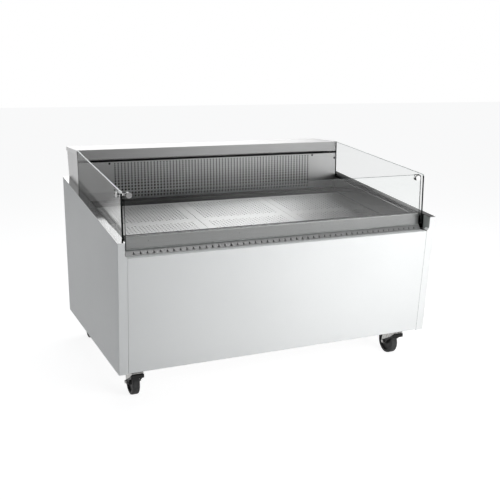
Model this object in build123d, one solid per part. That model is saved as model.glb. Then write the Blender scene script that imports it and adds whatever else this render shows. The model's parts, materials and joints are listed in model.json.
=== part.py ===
"""Mobile refrigerated fish display case.

A white cabinet on four castors carries a sloping, glass-walled well with perforated deck plates.
A raised head across the rear holds the evaporator and blows cold air forward over the deck.
Lengths are in millimetres. While modelling, x runs across the width from the middle, y runs to the
rear from the front top edge, and z runs up from the floor; the export moves y to the middle.
"""
import os
from math import cos, pi, radians, sin, tan

from build123d import *

# Overall size
WIDTH = 1500.0
DEPTH = 1118.0
HEIGHT = 1000.0
RIDE = 150.0
HALF = WIDTH / 2
ACROSS = (1, 0, 0)

# Sheet metal and fits
SHEET = 1.5
THIN = 1.2
RUN_FIT = 0.05
BODY_GAP = 0.3

# End panels: the rim rises to the rear, the front leans in towards its foot
REAR_OVERHANG = 33.6
BODY_DEPTH = DEPTH - REAR_OVERHANG
REAR_INNER = BODY_DEPTH - SHEET
RIM_DROP = 288.7
RIM_FRONT = HEIGHT - RIM_DROP
RIM_ANGLE = 7.4
RIM_SLOPE = tan(radians(RIM_ANGLE))
LEAN = 54.5
FACE_HEIGHT = RIM_FRONT - RIDE
FACE = Plane(origin=(0, LEAN, RIDE), x_dir=ACROSS, z_dir=(0, -FACE_HEIGHT, -LEAN))
END_THICK = 30.6
INNER = HALF - END_THICK
EDGE_ROUND = 3.0
FLANGE_WIDTH = 39.3
FLANGE_DEPTH = 25.0
FLANGE_DROP = 61.3
FLANGE_TALL = FACE_HEIGHT - FLANGE_DROP
SKIRT_FRONT = 50.0
SKIRT_DEPTH = 215.0

# Front panel and front rail
PANEL_SEAM = 1.0
PANEL_FOOT = 2.0
PANEL_DROP = 65.6
PANEL_TOP = RIM_FRONT - PANEL_DROP
PANEL_RETURN = 18.0
PANEL_BEND = 3.0
RAIL_INSET = 14.4
RAIL_HALF = INNER - RAIL_INSET
RAIL_FOOT = 50.0
RAIL_LIFT = 0.5
RAIL_FACE = 67.3
RAIL_KNEE_RISE = 23.0
RAIL_KNEE = PANEL_TOP + RAIL_KNEE_RISE
RAIL_RISE = 14.95
RAIL_TOP = RIM_FRONT + RAIL_RISE
RAIL_DEPTH = 16.0
RAIL_REAR = RAIL_FACE + RAIL_DEPTH + SHEET / 2
RAIL_BACK_DROP = 21.3
RAIL_BACK_FOOT = RIM_FRONT - RAIL_BACK_DROP
RAIL_ROUND = 7.0
VENT_PITCH = 28.0
VENT_WIDTH = 11.0
VENT_RISE = 3.0
VENT_TALL = 12.0

# Rear head
HEAD_DEPTH = 227.4
HEAD_FRONT = BODY_DEPTH - HEAD_DEPTH
LID_OVERHANG = 10.0
HEAD_REAR = DEPTH - LID_OVERHANG
WAIST_DROP = 148.0
HEAD_WAIST = HEIGHT - WAIST_DROP
CAP_DEPTH = 11.4
CAP_IN = INNER - CAP_DEPTH
LID_FLANGE = 20.0
FASCIA_TALL = 54.0
FASCIA_FOOT = HEIGHT - FASCIA_TALL
FASCIA_ROUND = 6.0
FASCIA_RETURN = 23.0
AIR_GAP = 8.0
PANEL_HEAD = FASCIA_FOOT - AIR_GAP
FOLD_DROP = 209.5
PANEL_FOLD = HEIGHT - FOLD_DROP
LIP_BACK = 10.0
LIP_DROP = 41.0
PANEL_TOP_RETURN = 10.0

# Glass and its corner clamps
GLASS = 8.0
PANE_GAP = 1.0
RIM_GAP = 1.4
SIDE_GLASS_OUT = INNER - RIM_GAP
SIDE_GLASS_IN = SIDE_GLASS_OUT - GLASS
SIDE_GLASS_FRONT = 56.5
SIDE_GLASS_SEAT = 45.0
HEAD_GAP = 2.0
SIDE_GLASS_REAR = HEAD_FRONT - HEAD_GAP
GLASS_RISE = 191.2
GLASS_FRONT_TOP = RIM_FRONT + GLASS_RISE
GLASS_REAR_TOP = HEIGHT - HEAD_GAP
GLASS_CORNER = 12.0
GLASS_REAR = RAIL_FACE - SHEET / 2
CORNER_GAP = 8.0
FRONT_GLASS_HALF = SIDE_GLASS_IN - CORNER_GAP
FRONT_GLASS_FOOT = RAIL_KNEE + PANE_GAP
GLASS_HOLE = 7.0
CLAMP_INSET = 35.0
CLAMP_X = SIDE_GLASS_OUT - CLAMP_INSET
CLAMP_SETBACK = 34.7
CLAMP_Y = RAIL_FACE + CLAMP_SETBACK
CLAMP_DROP = 15.5
CLAMP_Z = GLASS_FRONT_TOP - CLAMP_DROP
CLAMP_PAD = 12.0
CLAMP_CAP = 5.0
CLAMP_STUD = 5.0

# Side channels that hold the end glasses, as depths under the rim
CHANNEL_WIDTH = 20.0
CHANNEL_IN = SIDE_GLASS_OUT - CHANNEL_WIDTH
CHANNEL_TOP = 15.0
CHANNEL_FOOT = 60.0
CHANNEL_SKIRT = 108.0
CHANNEL_FIT = 0.3

# Well, deck plates and bearers; depths are under the rim
DECK_DEPTH = 93.0
DECK_LIP = 20.0
DECK_SIDE = 2.5
DECK_PLACES = (-1, 0, 1)
DECK_PITCH = 2 * (CHANNEL_IN - DECK_SIDE) / len(DECK_PLACES)
DECK_GAP = 1.0
WALL_THICK = 34.0
DECK_CLEAR = 3.95
DECK_FRONT = RAIL_REAR + WALL_THICK + DECK_CLEAR
AIR_SLOT = 42.0
DECK_REAR = HEAD_FRONT - AIR_SLOT
FLOOR_DEPTH = 175.0
FLOOR_THICK = 40.0
WALL_DROP = 18.25
FRONT_WALL_TOP = RAIL_TOP - WALL_DROP
REAR_WALL_SETBACK = 28.0
REAR_WALL = HEAD_FRONT + REAR_WALL_SETBACK
REAR_WALL_THICK = 30.0
REAR_WALL_DROP = 265.0
REAR_WALL_TOP = HEIGHT - REAR_WALL_DROP
HEAD_FLOOR_THICK = 15.0
HEAD_FLOOR = REAR_WALL_TOP + HEAD_FLOOR_THICK
BEARER_WIDTH = 30.0
BEARER_INSET = 40.0
BEARER_PLACES = (DECK_FRONT + BEARER_INSET, (DECK_FRONT + DECK_REAR) / 2, DECK_REAR - BEARER_INSET)
BEARER_DRAIN = 22.0

# Cooling parts in the head
TRAY_SETBACK = 87.0
TRAY_FRONT = HEAD_FRONT + TRAY_SETBACK
TRAY_GAP = 10.9
TRAY_REAR = REAR_INNER - TRAY_GAP
TRAY_END_GAP = 18.0
TRAY_HALF = CAP_IN - TRAY_END_GAP
TRAY_RIM = 22.0
COIL_SETBACK = 46.0
COIL_FRONT = TRAY_FRONT + COIL_SETBACK
COIL_GAP = 10.0
COIL_REAR = TRAY_REAR - COIL_GAP
COIL_END_GAP = 90.0
COIL_HALF = TRAY_HALF - COIL_END_GAP
COIL_DROP = 75.0
COIL_TOP = HEIGHT - COIL_DROP
FIN_PITCH = 20.0
FIN_SLOT = 6.0
FIN_DEPTH = 25.0
FAN_SETBACK = 68.0
FAN_PLATE = HEAD_FRONT + FAN_SETBACK
FAN_PLATE_DROP = 55.0
FAN_PLATE_TOP = HEIGHT - FAN_PLATE_DROP
FAN_SPREAD = 320.0
FAN_RISE = 98.0
FAN_Z = HEAD_FLOOR + FAN_RISE
FAN_R = 72.0
FAN_HUB = 26.0
FAN_GAP = 4.0
FAN_WIDTH = 24.0
FAN_SHAFT = 4.0
FAN_BLADES = 5
BLADE_SINK = 3.0
BLADE_PITCHES = (42, 32, 24)
BLADE_FILL = 0.9
MOTOR_R = 34.0
MOTOR_LENGTH = 32.0
MOTOR_BAR = 22.0

# Base
BASE_INSET = 14.4
BASE_OUT = INNER - BASE_INSET
BASE_RAIL = 100.0
BASE_IN = BASE_OUT - BASE_RAIL
BASE_TALL = 40.0
BASE_FRONT = 80.0
CROSS_DEPTH = 40.0
TUBE_WALL = 2.5
MACHINE_FLOOR = RIDE + BASE_TALL + SHEET

# Machine under the well
CONDENSER_X = (120.0, 480.0)
CONDENSER_GAP = 22.9
CONDENSER_THICK = 60.0
CONDENSER_REAR = REAR_INNER - CONDENSER_GAP
CONDENSER_FRONT = CONDENSER_REAR - CONDENSER_THICK
CONDENSER_TALL = 288.5
CONDENSER_TOP = MACHINE_FLOOR + CONDENSER_TALL
SHROUD_DEPTH = 64.0
SHROUD_FRONT = CONDENSER_FRONT - SHROUD_DEPTH
BIG_FAN_X = sum(CONDENSER_X) / 2
BIG_FAN_Z = (MACHINE_FLOOR + CONDENSER_TOP) / 2
BIG_FAN_MARGIN = 24.25
BIG_FAN_R = (CONDENSER_TOP - MACHINE_FLOOR) / 2 - BIG_FAN_MARGIN
BIG_FAN_HUB = 34.0
BIG_FAN_WIDTH = 28.0
COMPRESSOR_X = -330.0
COMPRESSOR_AHEAD = 236.0
COMPRESSOR_Y = SHROUD_FRONT - COMPRESSOR_AHEAD
COMPRESSOR_R = 92.0
COMPRESSOR_DOME = 50.0
COMPRESSOR_LIFT = 24.5
COMPRESSOR_FOOT = MACHINE_FLOOR + COMPRESSOR_LIFT
COMPRESSOR_DROP = 75.0
COMPRESSOR_TOP = CONDENSER_TOP - COMPRESSOR_DROP
COMPRESSOR_PLATE = (230.0, 170.0)
FOOT_INSET = 17.0
PIPE_R = 5.0
PIPE_BEND = 30.0
PIPE_SINK = 4.0
PIPE_DROP = 15.0
DRAIN_R = 17.5
DRAIN_BORE = 13.5
DRAIN_SETBACK = 28.0
DRAIN_Y = DECK_FRONT + DRAIN_SETBACK
DRAIN_BEND = 45.0
DRAIN_RISE = 44.5
DRAIN_OUT_Z = MACHINE_FLOOR + DRAIN_RISE
DRAIN_FALL = 14.0
DRAIN_LOW = DRAIN_OUT_Z + DRAIN_FALL
DRAIN_END_GAP = 4.0
DRAIN_END = DEPTH - DRAIN_END_GAP
SPIGOT_R = 16.0
SPIGOT_LENGTH = 28.0

# Rear panel and controls
PANEL_LAP = 6.0
REAR_PANEL_TOP = HEAD_WAIST - PANEL_LAP
LOUVRE_COUNT = 11
LOUVRE_PITCH = 24.0
LOUVRE_RISE = 38.5
LOUVRE_LOW = MACHINE_FLOOR + LOUVRE_RISE
LOUVRE_SLOT = 10.0
LOUVRE_HALF = 165.0
LOUVRE_REACH = 8.0
LOUVRE_X = (-300.0, 300.0)
CONTROL_END_GAP = 79.4
CONTROL_WIDE = 200.0
CONTROL_X = (CONTROL_END_GAP - INNER, CONTROL_END_GAP - INNER + CONTROL_WIDE)
CONTROL_DROP = 315.0
CONTROL_MID = HEIGHT - CONTROL_DROP
CONTROL_TALL = 70.0
CONTROL_Z = (CONTROL_MID - CONTROL_TALL / 2, CONTROL_MID + CONTROL_TALL / 2)
CONTROL_DEEP = 54.4
CONTROL_BACK = BODY_DEPTH - CONTROL_DEEP
BEZEL_RIM = 6.0
BEZEL = 3.0
BEZEL_FACE = BODY_DEPTH + BEZEL
ROCKER_INSET = 50.0
ROCKER_X = CONTROL_X[1] - ROCKER_INSET
ROCKER_WIDTH = 24.0
ROCKER_TALL = 30.0
ROCKER_BACK = 24.0
ROCKER_DEEP = 5.0
ROCKER_CROWN = 1.5
ROCKER_DIP = 1.0
ROCKER_TILT = 7.0
ROCKER_SINK = 4.4
ROCKER_PIVOT = BODY_DEPTH - ROCKER_SINK
ROCKER_PIN = 2.0
ROCKER_PIN_HALF = 16.8
ROCKER_POCKET = 17.0
KNOB_INSET = 55.0
KNOB_X = CONTROL_X[0] + KNOB_INSET
KNOB_R = 18.0
KNOB_SHAFT = 3.0
KNOB_SHAFT_LENGTH = 14.4
KNOB_FLUTES = 12
FLUTE_R = 2.6
FLUTE_AT = 19.1
NIB_WIDTH = 3.0
NIB_RISE = 1.5
NIB_LENGTH = 14.0
GLAND_END_GAP = 99.4
GLAND_X = GLAND_END_GAP - INNER
GLAND_RISE = 48.5
GLAND_Z = MACHINE_FLOOR + GLAND_RISE
GLAND_R = 12.0
GLAND_STUB = 9.0
GLAND_BORE = 5.0
GLAND_OUT = 18.0

# Castors: swivel axes, trail and wheel
CASTOR_X = (BASE_IN + BASE_OUT) / 2
CASTOR_FRONT = 83.0
CASTOR_REAR = 92.9
CASTOR_Y = (BASE_FRONT + CASTOR_FRONT, REAR_INNER - CASTOR_REAR)
CASTOR_PLATE = (100.0, 82.0, 4.0)
CASTOR_TOP = RIDE - CASTOR_PLATE[2]
TRAIL = 40.5
CROWN_DROP = 26.0
CROWN_THICK = 3.0
CROWN_TOP = RIDE - CROWN_DROP
CROWN_LOW = CROWN_TOP - CROWN_THICK
WHEEL_GAP = 3.0
WHEEL_R = (CROWN_LOW - WHEEL_GAP) / 2
TREAD_HALF = 16.5
TREAD_FLAT = 11.5
TREAD_EDGE = 15.0
TREAD_FALL = 1.2
SHOULDER = 4.0
RIM_DEPTH = 15.0
WEB_HALF = 8.0
DISH = 2.0
HUB_HALF = 22.0
HUB_R = 14.0
AXLE_R = 5.0
AXLE_HEAD_R = 8.0
AXLE_HEAD = 6.0
KINGPIN_R = 6.0
KINGPIN_HEAD_R = 9.6
KINGPIN_HEAD = 7.2
RACE_R = 31.0
RACE_BEVEL = 7.0
LEG_IN = HUB_HALF + BODY_GAP
LEG_THICK = 3.0
LEG_OUT = LEG_IN + LEG_THICK
FORK_NOSE = 14.0
FORK_TAIL = 12.0
FORK_SWEEP = ((14, 27), (20, -3), (1, -15), (-17, 1), (-30, 21), (-58, 42))
FORK_ROUNDS = (1, 8, 9, 9, 9, 12, 30, 0.5, 0.5)

# Brake pedals on the front castors, measured from the axle
PEDAL_THICK = 3.5
PEDAL_IN = LEG_OUT + BODY_GAP
PEDAL_OUT = PEDAL_IN + PEDAL_THICK
PEDAL_BOSS = 10.0
PEDAL_CLEAR = 3.5
PEDAL_TOP = CROWN_LOW - WHEEL_R - PEDAL_CLEAR
PEDAL_TIP = 88.0
PEDAL_NOSE = 4.0
PEDAL_BEVEL = 1.5
PEDAL_EDGE = 15.0
PEDAL_CORNER = 8.0
PEDAL_HEEL = 57.0
PEDAL_FALL = 19.3
PEDAL_LIP = 6.2
PEDAL_ARM = 9.2


def rim(y, depth=0.0):
    """Side-plane point at a depth under the sloping rim."""
    return (y, RIM_FRONT + RIM_SLOPE * y - depth)


def front_y(z):
    """How far behind the front top edge the leaning front lies at a height."""
    return LEAN * (RIM_FRONT - z) / FACE_HEIGHT


def front_corner(depth):
    """Where the leaning front meets a plane at a depth under the rim."""
    return rim(LEAN * depth / (FACE_HEIGHT + LEAN * RIM_SLOPE), depth)


def block(x, y, z):
    """Box between three pairs of limits."""
    middle = [(low + high) / 2 for low, high in (x, y, z)]
    return Pos(*middle) * Box(x[1] - x[0], y[1] - y[0], z[1] - z[0])


def prism(points, x):
    """Side-plane outline drawn out between two places across the width."""
    outline = Plane.YZ.offset(x[0]) * Polygon(*points, align=None)
    return extrude(outline, amount=x[1] - x[0], dir=ACROSS)


def slab(x, y, top, bottom):
    """Slab parallel to the rim, between two depths under it."""
    return prism([rim(y[0], bottom), rim(y[1], bottom), rim(y[1], top), rim(y[0], top)], x)


def folded(path, radii, x, thickness=SHEET):
    """Sheet bent along a side-plane path and drawn out across the width."""
    section = trace(FilletPolyline(*path, radius=radii), thickness)
    return extrude(Plane.YZ.offset(x[0]) * section, amount=x[1] - x[0], dir=ACROSS)


def rod(start, direction, radius, length):
    """Round bar from a point along a direction."""
    bar = Cylinder(radius, length, align=(Align.CENTER, Align.CENTER, Align.MIN))
    return Plane(origin=start, z_dir=direction) * bar


def nut(start, direction, radius, length):
    """Hexagon head from a point along a direction."""
    outline = Plane(origin=start, z_dir=direction) * RegularPolygon(radius, 6)
    return extrude(outline, amount=length, dir=direction)


def mirrored(solid):
    """The same piece for the other end of the case."""
    return mirror(solid, about=Plane.YZ)


def end_panel():
    """Insulated end panel with its return flange down the front edge."""
    skin = INNER + THIN
    outline = [(LEAN, RIDE), (BODY_DEPTH, RIDE), rim(BODY_DEPTH, THIN), front_corner(THIN)]
    panel = prism(outline, (skin, HALF))
    outer = panel.faces().sort_by(Axis.X)[-1]
    upright = outer.edges().filter_by(lambda edge: abs(edge.tangent_at(0.5).Y) < 0.5)
    panel = fillet(upright, EDGE_ROUND)
    flange_in = HALF - FLANGE_WIDTH
    flange = Polygon((flange_in, 0), (skin, 0), (skin, FLANGE_TALL + skin - flange_in),
                     (flange_in, FLANGE_TALL), align=None)
    return panel + extrude(FACE * flange, amount=FLANGE_DEPTH, dir=(0, FACE_HEIGHT, LEAN))


def end_lining():
    """Stainless lining: a flange over the rim and a skirt down the inner face."""
    outline = [front_corner(THIN), rim(BODY_DEPTH, THIN), rim(BODY_DEPTH), front_corner(0)]
    skirt = slab((INNER, INNER + THIN), (SKIRT_FRONT, BODY_DEPTH), THIN / 2, SKIRT_DEPTH)
    return prism(outline, (INNER, HALF)) + skirt


def front_panel():
    """Leaning front sheet, folded back at its foot, its top and both sides."""
    half = HALF - FLANGE_WIDTH - PANEL_SEAM
    foot = RIDE + PANEL_FOOT + THIN / 2
    head = PANEL_TOP - THIN / 2
    path = [(BASE_FRONT, foot), (front_y(foot) + THIN / 2, foot),
            (front_y(head) + THIN / 2, head), (RAIL_REAR, head)]
    panel = folded(path, PANEL_BEND, (-half, half), THIN)
    low = foot + PANEL_BEND
    high = head - PANEL_BEND
    edge = [(front_y(z) + back, z) for z, back in
            ((low, THIN / 2), (high, THIN / 2), (high, PANEL_RETURN), (low, PANEL_RETURN))]
    return panel + prism(edge, (half - THIN, half)) + prism(edge, (-half, THIN - half))


def front_rail():
    """Folded rail behind the front glass, with a row of air vents in its sloping foot."""
    back = RAIL_FACE + RAIL_DEPTH
    path = [(RAIL_FOOT, PANEL_TOP + RAIL_LIFT), (RAIL_FACE, RAIL_KNEE), (RAIL_FACE, RAIL_TOP),
            (back, RAIL_TOP), (back, RAIL_BACK_FOOT)]
    rail = folded(path, [PANEL_BEND, RAIL_ROUND, RAIL_ROUND], (-RAIL_HALF, RAIL_HALF))
    count = int(2 * RAIL_HALF / VENT_PITCH) - 1
    low = PANEL_TOP + VENT_RISE
    tick = Polygon((-VENT_WIDTH / 2, low), (VENT_WIDTH / 2, low), (0, low + VENT_TALL), align=None)
    start = Plane.XZ.offset(-GLASS_REAR)
    for i in range(count):
        place = Pos((i - (count - 1) / 2) * VENT_PITCH, 0)
        rail -= extrude(start * (place * tick), amount=GLASS_REAR, dir=(0, -1, 0))
    return rail


def front_glass():
    """Upright front pane with rounded top corners and a hole for each corner clamp."""
    pane = block((-FRONT_GLASS_HALF, FRONT_GLASS_HALF), (GLASS_REAR - GLASS, GLASS_REAR),
                 (FRONT_GLASS_FOOT, GLASS_FRONT_TOP))
    corners = pane.edges().filter_by(Axis.Y).group_by(Axis.Z)[-1]
    pane = fillet(corners, GLASS_CORNER)
    holes = [rod((side * CLAMP_X, 0, CLAMP_Z), (0, 1, 0), GLASS_HOLE, DEPTH) for side in (-1, 1)]
    return pane - holes


def side_glass():
    """End pane: its top climbs with the rim from a rounded front corner to the head."""
    outline = Polygon(rim(SIDE_GLASS_FRONT, SIDE_GLASS_SEAT), rim(SIDE_GLASS_REAR, SIDE_GLASS_SEAT),
                      (SIDE_GLASS_REAR, GLASS_REAR_TOP), (SIDE_GLASS_FRONT, GLASS_FRONT_TOP), align=None)
    corner = outline.vertices().sort_by(Axis.X)[:2].sort_by(Axis.Y)[-1]
    outline = fillet(corner, GLASS_CORNER)
    pane = extrude(Plane.YZ.offset(SIDE_GLASS_IN) * outline, amount=GLASS, dir=ACROSS)
    return pane - rod((0, CLAMP_Y, CLAMP_Z), ACROSS, GLASS_HOLE, WIDTH)


def glass_clamp():
    """Corner clamp: a pad and cap on each pane, joined through the glass and by a link bar."""
    glass_front = GLASS_REAR - GLASS
    clamp = rod((CLAMP_X, GLASS_REAR, CLAMP_Z), (0, 1, 0), CLAMP_PAD, 2 * CLAMP_CAP)
    clamp += rod((SIDE_GLASS_IN, CLAMP_Y, CLAMP_Z), (-1, 0, 0), CLAMP_PAD, 2 * CLAMP_CAP)
    clamp += rod((CLAMP_X, glass_front, CLAMP_Z), (0, -1, 0), CLAMP_PAD, CLAMP_CAP)
    clamp += rod((SIDE_GLASS_OUT, CLAMP_Y, CLAMP_Z), ACROSS, CLAMP_PAD, CLAMP_CAP)
    clamp += rod((CLAMP_X, glass_front, CLAMP_Z), (0, 1, 0), CLAMP_STUD, GLASS)
    clamp += rod((SIDE_GLASS_IN, CLAMP_Y, CLAMP_Z), ACROSS, CLAMP_STUD, GLASS)
    start = Vector(CLAMP_X, GLASS_REAR + CLAMP_CAP, CLAMP_Z)
    end = Vector(SIDE_GLASS_IN - CLAMP_CAP, CLAMP_Y, CLAMP_Z)
    return clamp + rod(start, end - start, CLAMP_STUD, (end - start).length)


def glass_channel():
    """Side channel: a seat for the end glass, its inner cheek and a skirt down to the deck."""
    along = (RAIL_REAR, SIDE_GLASS_REAR)
    cheek = slab((CHANNEL_IN, SIDE_GLASS_IN - CHANNEL_FIT), along, CHANNEL_TOP, CHANNEL_FOOT)
    seat = slab((CHANNEL_IN, INNER), along, SIDE_GLASS_SEAT, CHANNEL_FOOT)
    skirt = slab((CHANNEL_IN, CHANNEL_IN + SHEET), along, CHANNEL_TOP, CHANNEL_SKIRT)
    return cheek + seat + skirt


def deck_plate(place):
    """One lift-out deck plate with its edges turned down."""
    half = (DECK_PITCH - DECK_GAP) / 2
    x = (place * DECK_PITCH - half, place * DECK_PITCH + half)
    plate = slab(x, (DECK_FRONT, DECK_REAR), DECK_DEPTH, DECK_DEPTH + DECK_LIP)
    inside = slab((x[0] + SHEET, x[1] - SHEET), (DECK_FRONT + SHEET, DECK_REAR - SHEET),
                  DECK_DEPTH + SHEET, DECK_DEPTH + 2 * DECK_LIP)
    return plate - inside


def deck_bearers():
    """Cross bearers that stand on the well floor, notched so that melt water runs past."""
    x = (-CHANNEL_IN, CHANNEL_IN)
    top = DECK_DEPTH + DECK_LIP
    bearers = []
    for y in BEARER_PLACES:
        span = (y - BEARER_WIDTH / 2, y + BEARER_WIDTH / 2)
        inner = (span[0] + SHEET, span[1] - SHEET)
        bearer = slab(x, span, top, FLOOR_DEPTH) - slab(x, inner, top + SHEET, FLOOR_DEPTH + DECK_LIP)
        foot = rim(y, FLOOR_DEPTH)[1]
        for place in DECK_PLACES:
            bearer -= rod((place * DECK_PITCH, 0, foot), (0, 1, 0), BEARER_DRAIN, DEPTH)
        bearers.append(bearer)
    return bearers


def well_floor():
    """Insulated floor of the well with the drain hole at its low front edge."""
    along = (RAIL_REAR, REAR_WALL + REAR_WALL_THICK)
    floor = slab((-INNER, INNER), along, FLOOR_DEPTH, FLOOR_DEPTH + FLOOR_THICK)
    return floor - rod((0, DRAIN_Y, RIDE), (0, 0, 1), DRAIN_R, HEIGHT)


def well_wall(y, top, half):
    """Upright insulated wall that stands on the well floor."""
    outline = [rim(y[0], FLOOR_DEPTH), rim(y[1], FLOOR_DEPTH), (y[1], top), (y[0], top)]
    return prism(outline, (-half, half))


def drain_pipe():
    """Drain from the well's low edge, falling to an open spigot at the rear."""
    top = (0, DRAIN_Y, rim(DRAIN_Y, FLOOR_DEPTH + FLOOR_THICK / 2)[1])
    turn = (0, REAR_INNER - 2 * DRAIN_BEND, DRAIN_OUT_Z)
    neck = (0, DRAIN_END - SPIGOT_LENGTH, DRAIN_OUT_Z)
    route = FilletPolyline(top, (0, DRAIN_Y, DRAIN_LOW), turn, neck, radius=DRAIN_BEND)
    start = Plane(origin=top, z_dir=(0, 0, -1))
    pipe = sweep(start * Circle(DRAIN_R), path=route) + rod(neck, (0, 1, 0), SPIGOT_R, SPIGOT_LENGTH)
    pipe -= rod(neck, (0, 1, 0), DRAIN_BORE, SPIGOT_LENGTH)
    return pipe - sweep(start * Circle(DRAIN_BORE), path=route)


def head_floor():
    """Insulated floor of the head, resting on the well's rear wall."""
    return block((-INNER, INNER), (REAR_WALL, REAR_INNER), (REAR_WALL_TOP, HEAD_FLOOR))


def head_cap():
    """End cap of the head: a shallow pan, open inwards, with a leaning rear edge."""
    top = HEIGHT - SHEET
    out = INNER - SHEET
    pan = prism([(HEAD_FRONT, HEAD_FLOOR), (HEAD_FRONT, top), (HEAD_REAR, top),
                 (REAR_INNER, HEAD_WAIST), (REAR_INNER, HEAD_FLOOR)], (CAP_IN, out))
    inside = prism([(HEAD_FRONT + SHEET, HEAD_FLOOR + SHEET), (HEAD_FRONT + SHEET, top - SHEET),
                    (HEAD_REAR - 2 * SHEET, top - SHEET), (REAR_INNER - SHEET, HEAD_WAIST),
                    (REAR_INNER - SHEET, HEAD_FLOOR + SHEET)], (CAP_IN, out - SHEET))
    return pan - inside


def head_lid():
    """Lid: a flat top with flanges turned down at its ends and along its rear overhang."""
    lid = block((-INNER, INNER), (HEAD_FRONT, DEPTH), (HEIGHT - LID_FLANGE, HEIGHT))
    inside = block((SHEET - INNER, INNER - SHEET), (HEAD_FRONT - SHEET, DEPTH - SHEET),
                   (HEIGHT - 2 * LID_FLANGE, HEIGHT - SHEET))
    return lid - inside


def head_fascia():
    """Front fascia of the head with a rounded lower fold."""
    y = HEAD_FRONT + SHEET / 2
    z = FASCIA_FOOT + SHEET / 2
    path = [(y, HEIGHT - SHEET), (y, z), (y + FASCIA_RETURN, z)]
    return folded(path, FASCIA_ROUND, (-CAP_IN, CAP_IN))


def head_back():
    """Leaning sheet that closes the head's rear under the lid."""
    y = REAR_INNER + SHEET / 2
    path = [(HEAD_REAR - SHEET, HEIGHT - 2 * SHEET), (y, HEAD_WAIST), (y, REAR_PANEL_TOP)]
    return folded(path, SHEET, (-CAP_IN, CAP_IN))


def discharge_panel():
    """Air discharge panel: upright face, folded back at the top and leaning back at its foot."""
    y = HEAD_FRONT + THIN / 2
    lip = (HEAD_FRONT + LIP_BACK, PANEL_FOLD - LIP_DROP)
    path = [(y + PANEL_TOP_RETURN, PANEL_HEAD), (y, PANEL_HEAD), (y, PANEL_FOLD), lip]
    return folded(path, [SHEET, FASCIA_ROUND], (-CAP_IN, CAP_IN), THIN)


def drip_tray():
    """Shallow tray under the evaporator."""
    tray = block((-TRAY_HALF, TRAY_HALF), (TRAY_FRONT, TRAY_REAR), (HEAD_FLOOR, HEAD_FLOOR + TRAY_RIM))
    inside = block((SHEET - TRAY_HALF, TRAY_HALF - SHEET), (TRAY_FRONT + SHEET, TRAY_REAR - SHEET),
                   (HEAD_FLOOR + SHEET, HEAD_FLOOR + 2 * TRAY_RIM))
    return tray - inside


def finned_block(x, y, z):
    """Heat exchanger: a solid core with upright fins on its front and rear."""
    body = block(x, y, z)
    count = int((x[1] - x[0]) / FIN_PITCH)
    first = (x[0] + x[1] - (count - 1) * FIN_PITCH) / 2
    tall = (z[0] - 1, z[1] + 1)
    slots = []
    for i in range(count):
        middle = first + i * FIN_PITCH
        width = (middle - FIN_SLOT / 2, middle + FIN_SLOT / 2)
        slots.append(block(width, (y[0] - 1, y[0] + FIN_DEPTH), tall))
        slots.append(block(width, (y[1] - FIN_DEPTH, y[1] + 1), tall))
    return body - slots


def fan_plate():
    """Upright plate that carries the evaporator fans, with a round opening for each."""
    plate = block((-CAP_IN, CAP_IN), (FAN_PLATE, FAN_PLATE + SHEET), (HEAD_FLOOR, FAN_PLATE_TOP))
    places = (-FAN_SPREAD, FAN_SPREAD)
    return plate - [rod((x, 0, FAN_Z), (0, 1, 0), FAN_R + FAN_GAP, DEPTH) for x in places]


def fan_motor(x, plate, z, radius, width):
    """Fan motor on a bar that bridges the opening behind its plate, with the shaft forward."""
    half = MOTOR_BAR / 2
    across = (x - half, x + half)
    reach = radius + FAN_GAP + BODY_GAP + half
    bar_y = plate + SHEET + width / 2 + BODY_GAP
    bar = block(across, (bar_y, bar_y + SHEET), (z - reach, z + reach))
    feet = [block(across, (plate + SHEET, bar_y), (low, low + half)) for low in (z - reach, z + reach - half)]
    motor = rod((x, bar_y + SHEET, z), (0, 1, 0), MOTOR_R, MOTOR_LENGTH)
    shaft = rod((x, bar_y, z), (0, -1, 0), FAN_SHAFT, width)
    return bar + feet + motor + shaft


def fan_rotor(x, plate, z, radius, width, hub):
    """Axial fan: a bored hub with twisted blades, steep at the root and flat at the tip."""
    root = hub - BLADE_SINK
    sections = []
    for i, pitch in enumerate(BLADE_PITCHES):
        out = root + (radius - root) * i / (len(BLADE_PITCHES) - 1)
        lay = (0, cos(radians(pitch)), sin(radians(pitch)))
        chord = BLADE_FILL * width / sin(radians(pitch))
        sections.append(Plane(origin=(out, 0, 0), x_dir=lay, z_dir=ACROSS) * Rectangle(chord, SHEET))
    blade = loft(sections)
    rotor = Cylinder(hub, width)
    for i in range(FAN_BLADES):
        rotor += Rot(0, 0, i * 360 / FAN_BLADES) * blade
    rotor = (rotor & Cylinder(radius, width)) - Cylinder(FAN_SHAFT + RUN_FIT, 2 * width)
    return Pos(x, plate + SHEET / 2, z) * Rot(90, 0, 0) * rotor


def base_frame():
    """Welded base: two wide side rails, two cross rails between them and the machine floor on top."""
    z = (RIDE, RIDE + BASE_TALL)
    bore = (RIDE + TUBE_WALL, RIDE + BASE_TALL - TUBE_WALL)
    rails = []
    for side in (-1, 1):
        x = sorted((side * BASE_IN, side * BASE_OUT))
        rail = block(x, (BASE_FRONT, REAR_INNER), z)
        rails.append(rail - block((x[0] + TUBE_WALL, x[1] - TUBE_WALL), (0, DEPTH), bore))
    for y in ((BASE_FRONT, BASE_FRONT + CROSS_DEPTH), (REAR_INNER - CROSS_DEPTH, REAR_INNER)):
        rail = block((-BASE_IN, BASE_IN), y, z)
        rails.append(rail - block((-HALF, HALF), (y[0] + TUBE_WALL, y[1] - TUBE_WALL), bore))
    skin = INNER + THIN
    floor = block((-skin, skin), (BASE_FRONT, REAR_INNER), (MACHINE_FLOOR - SHEET, MACHINE_FLOOR))
    return rails + [floor]


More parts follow.
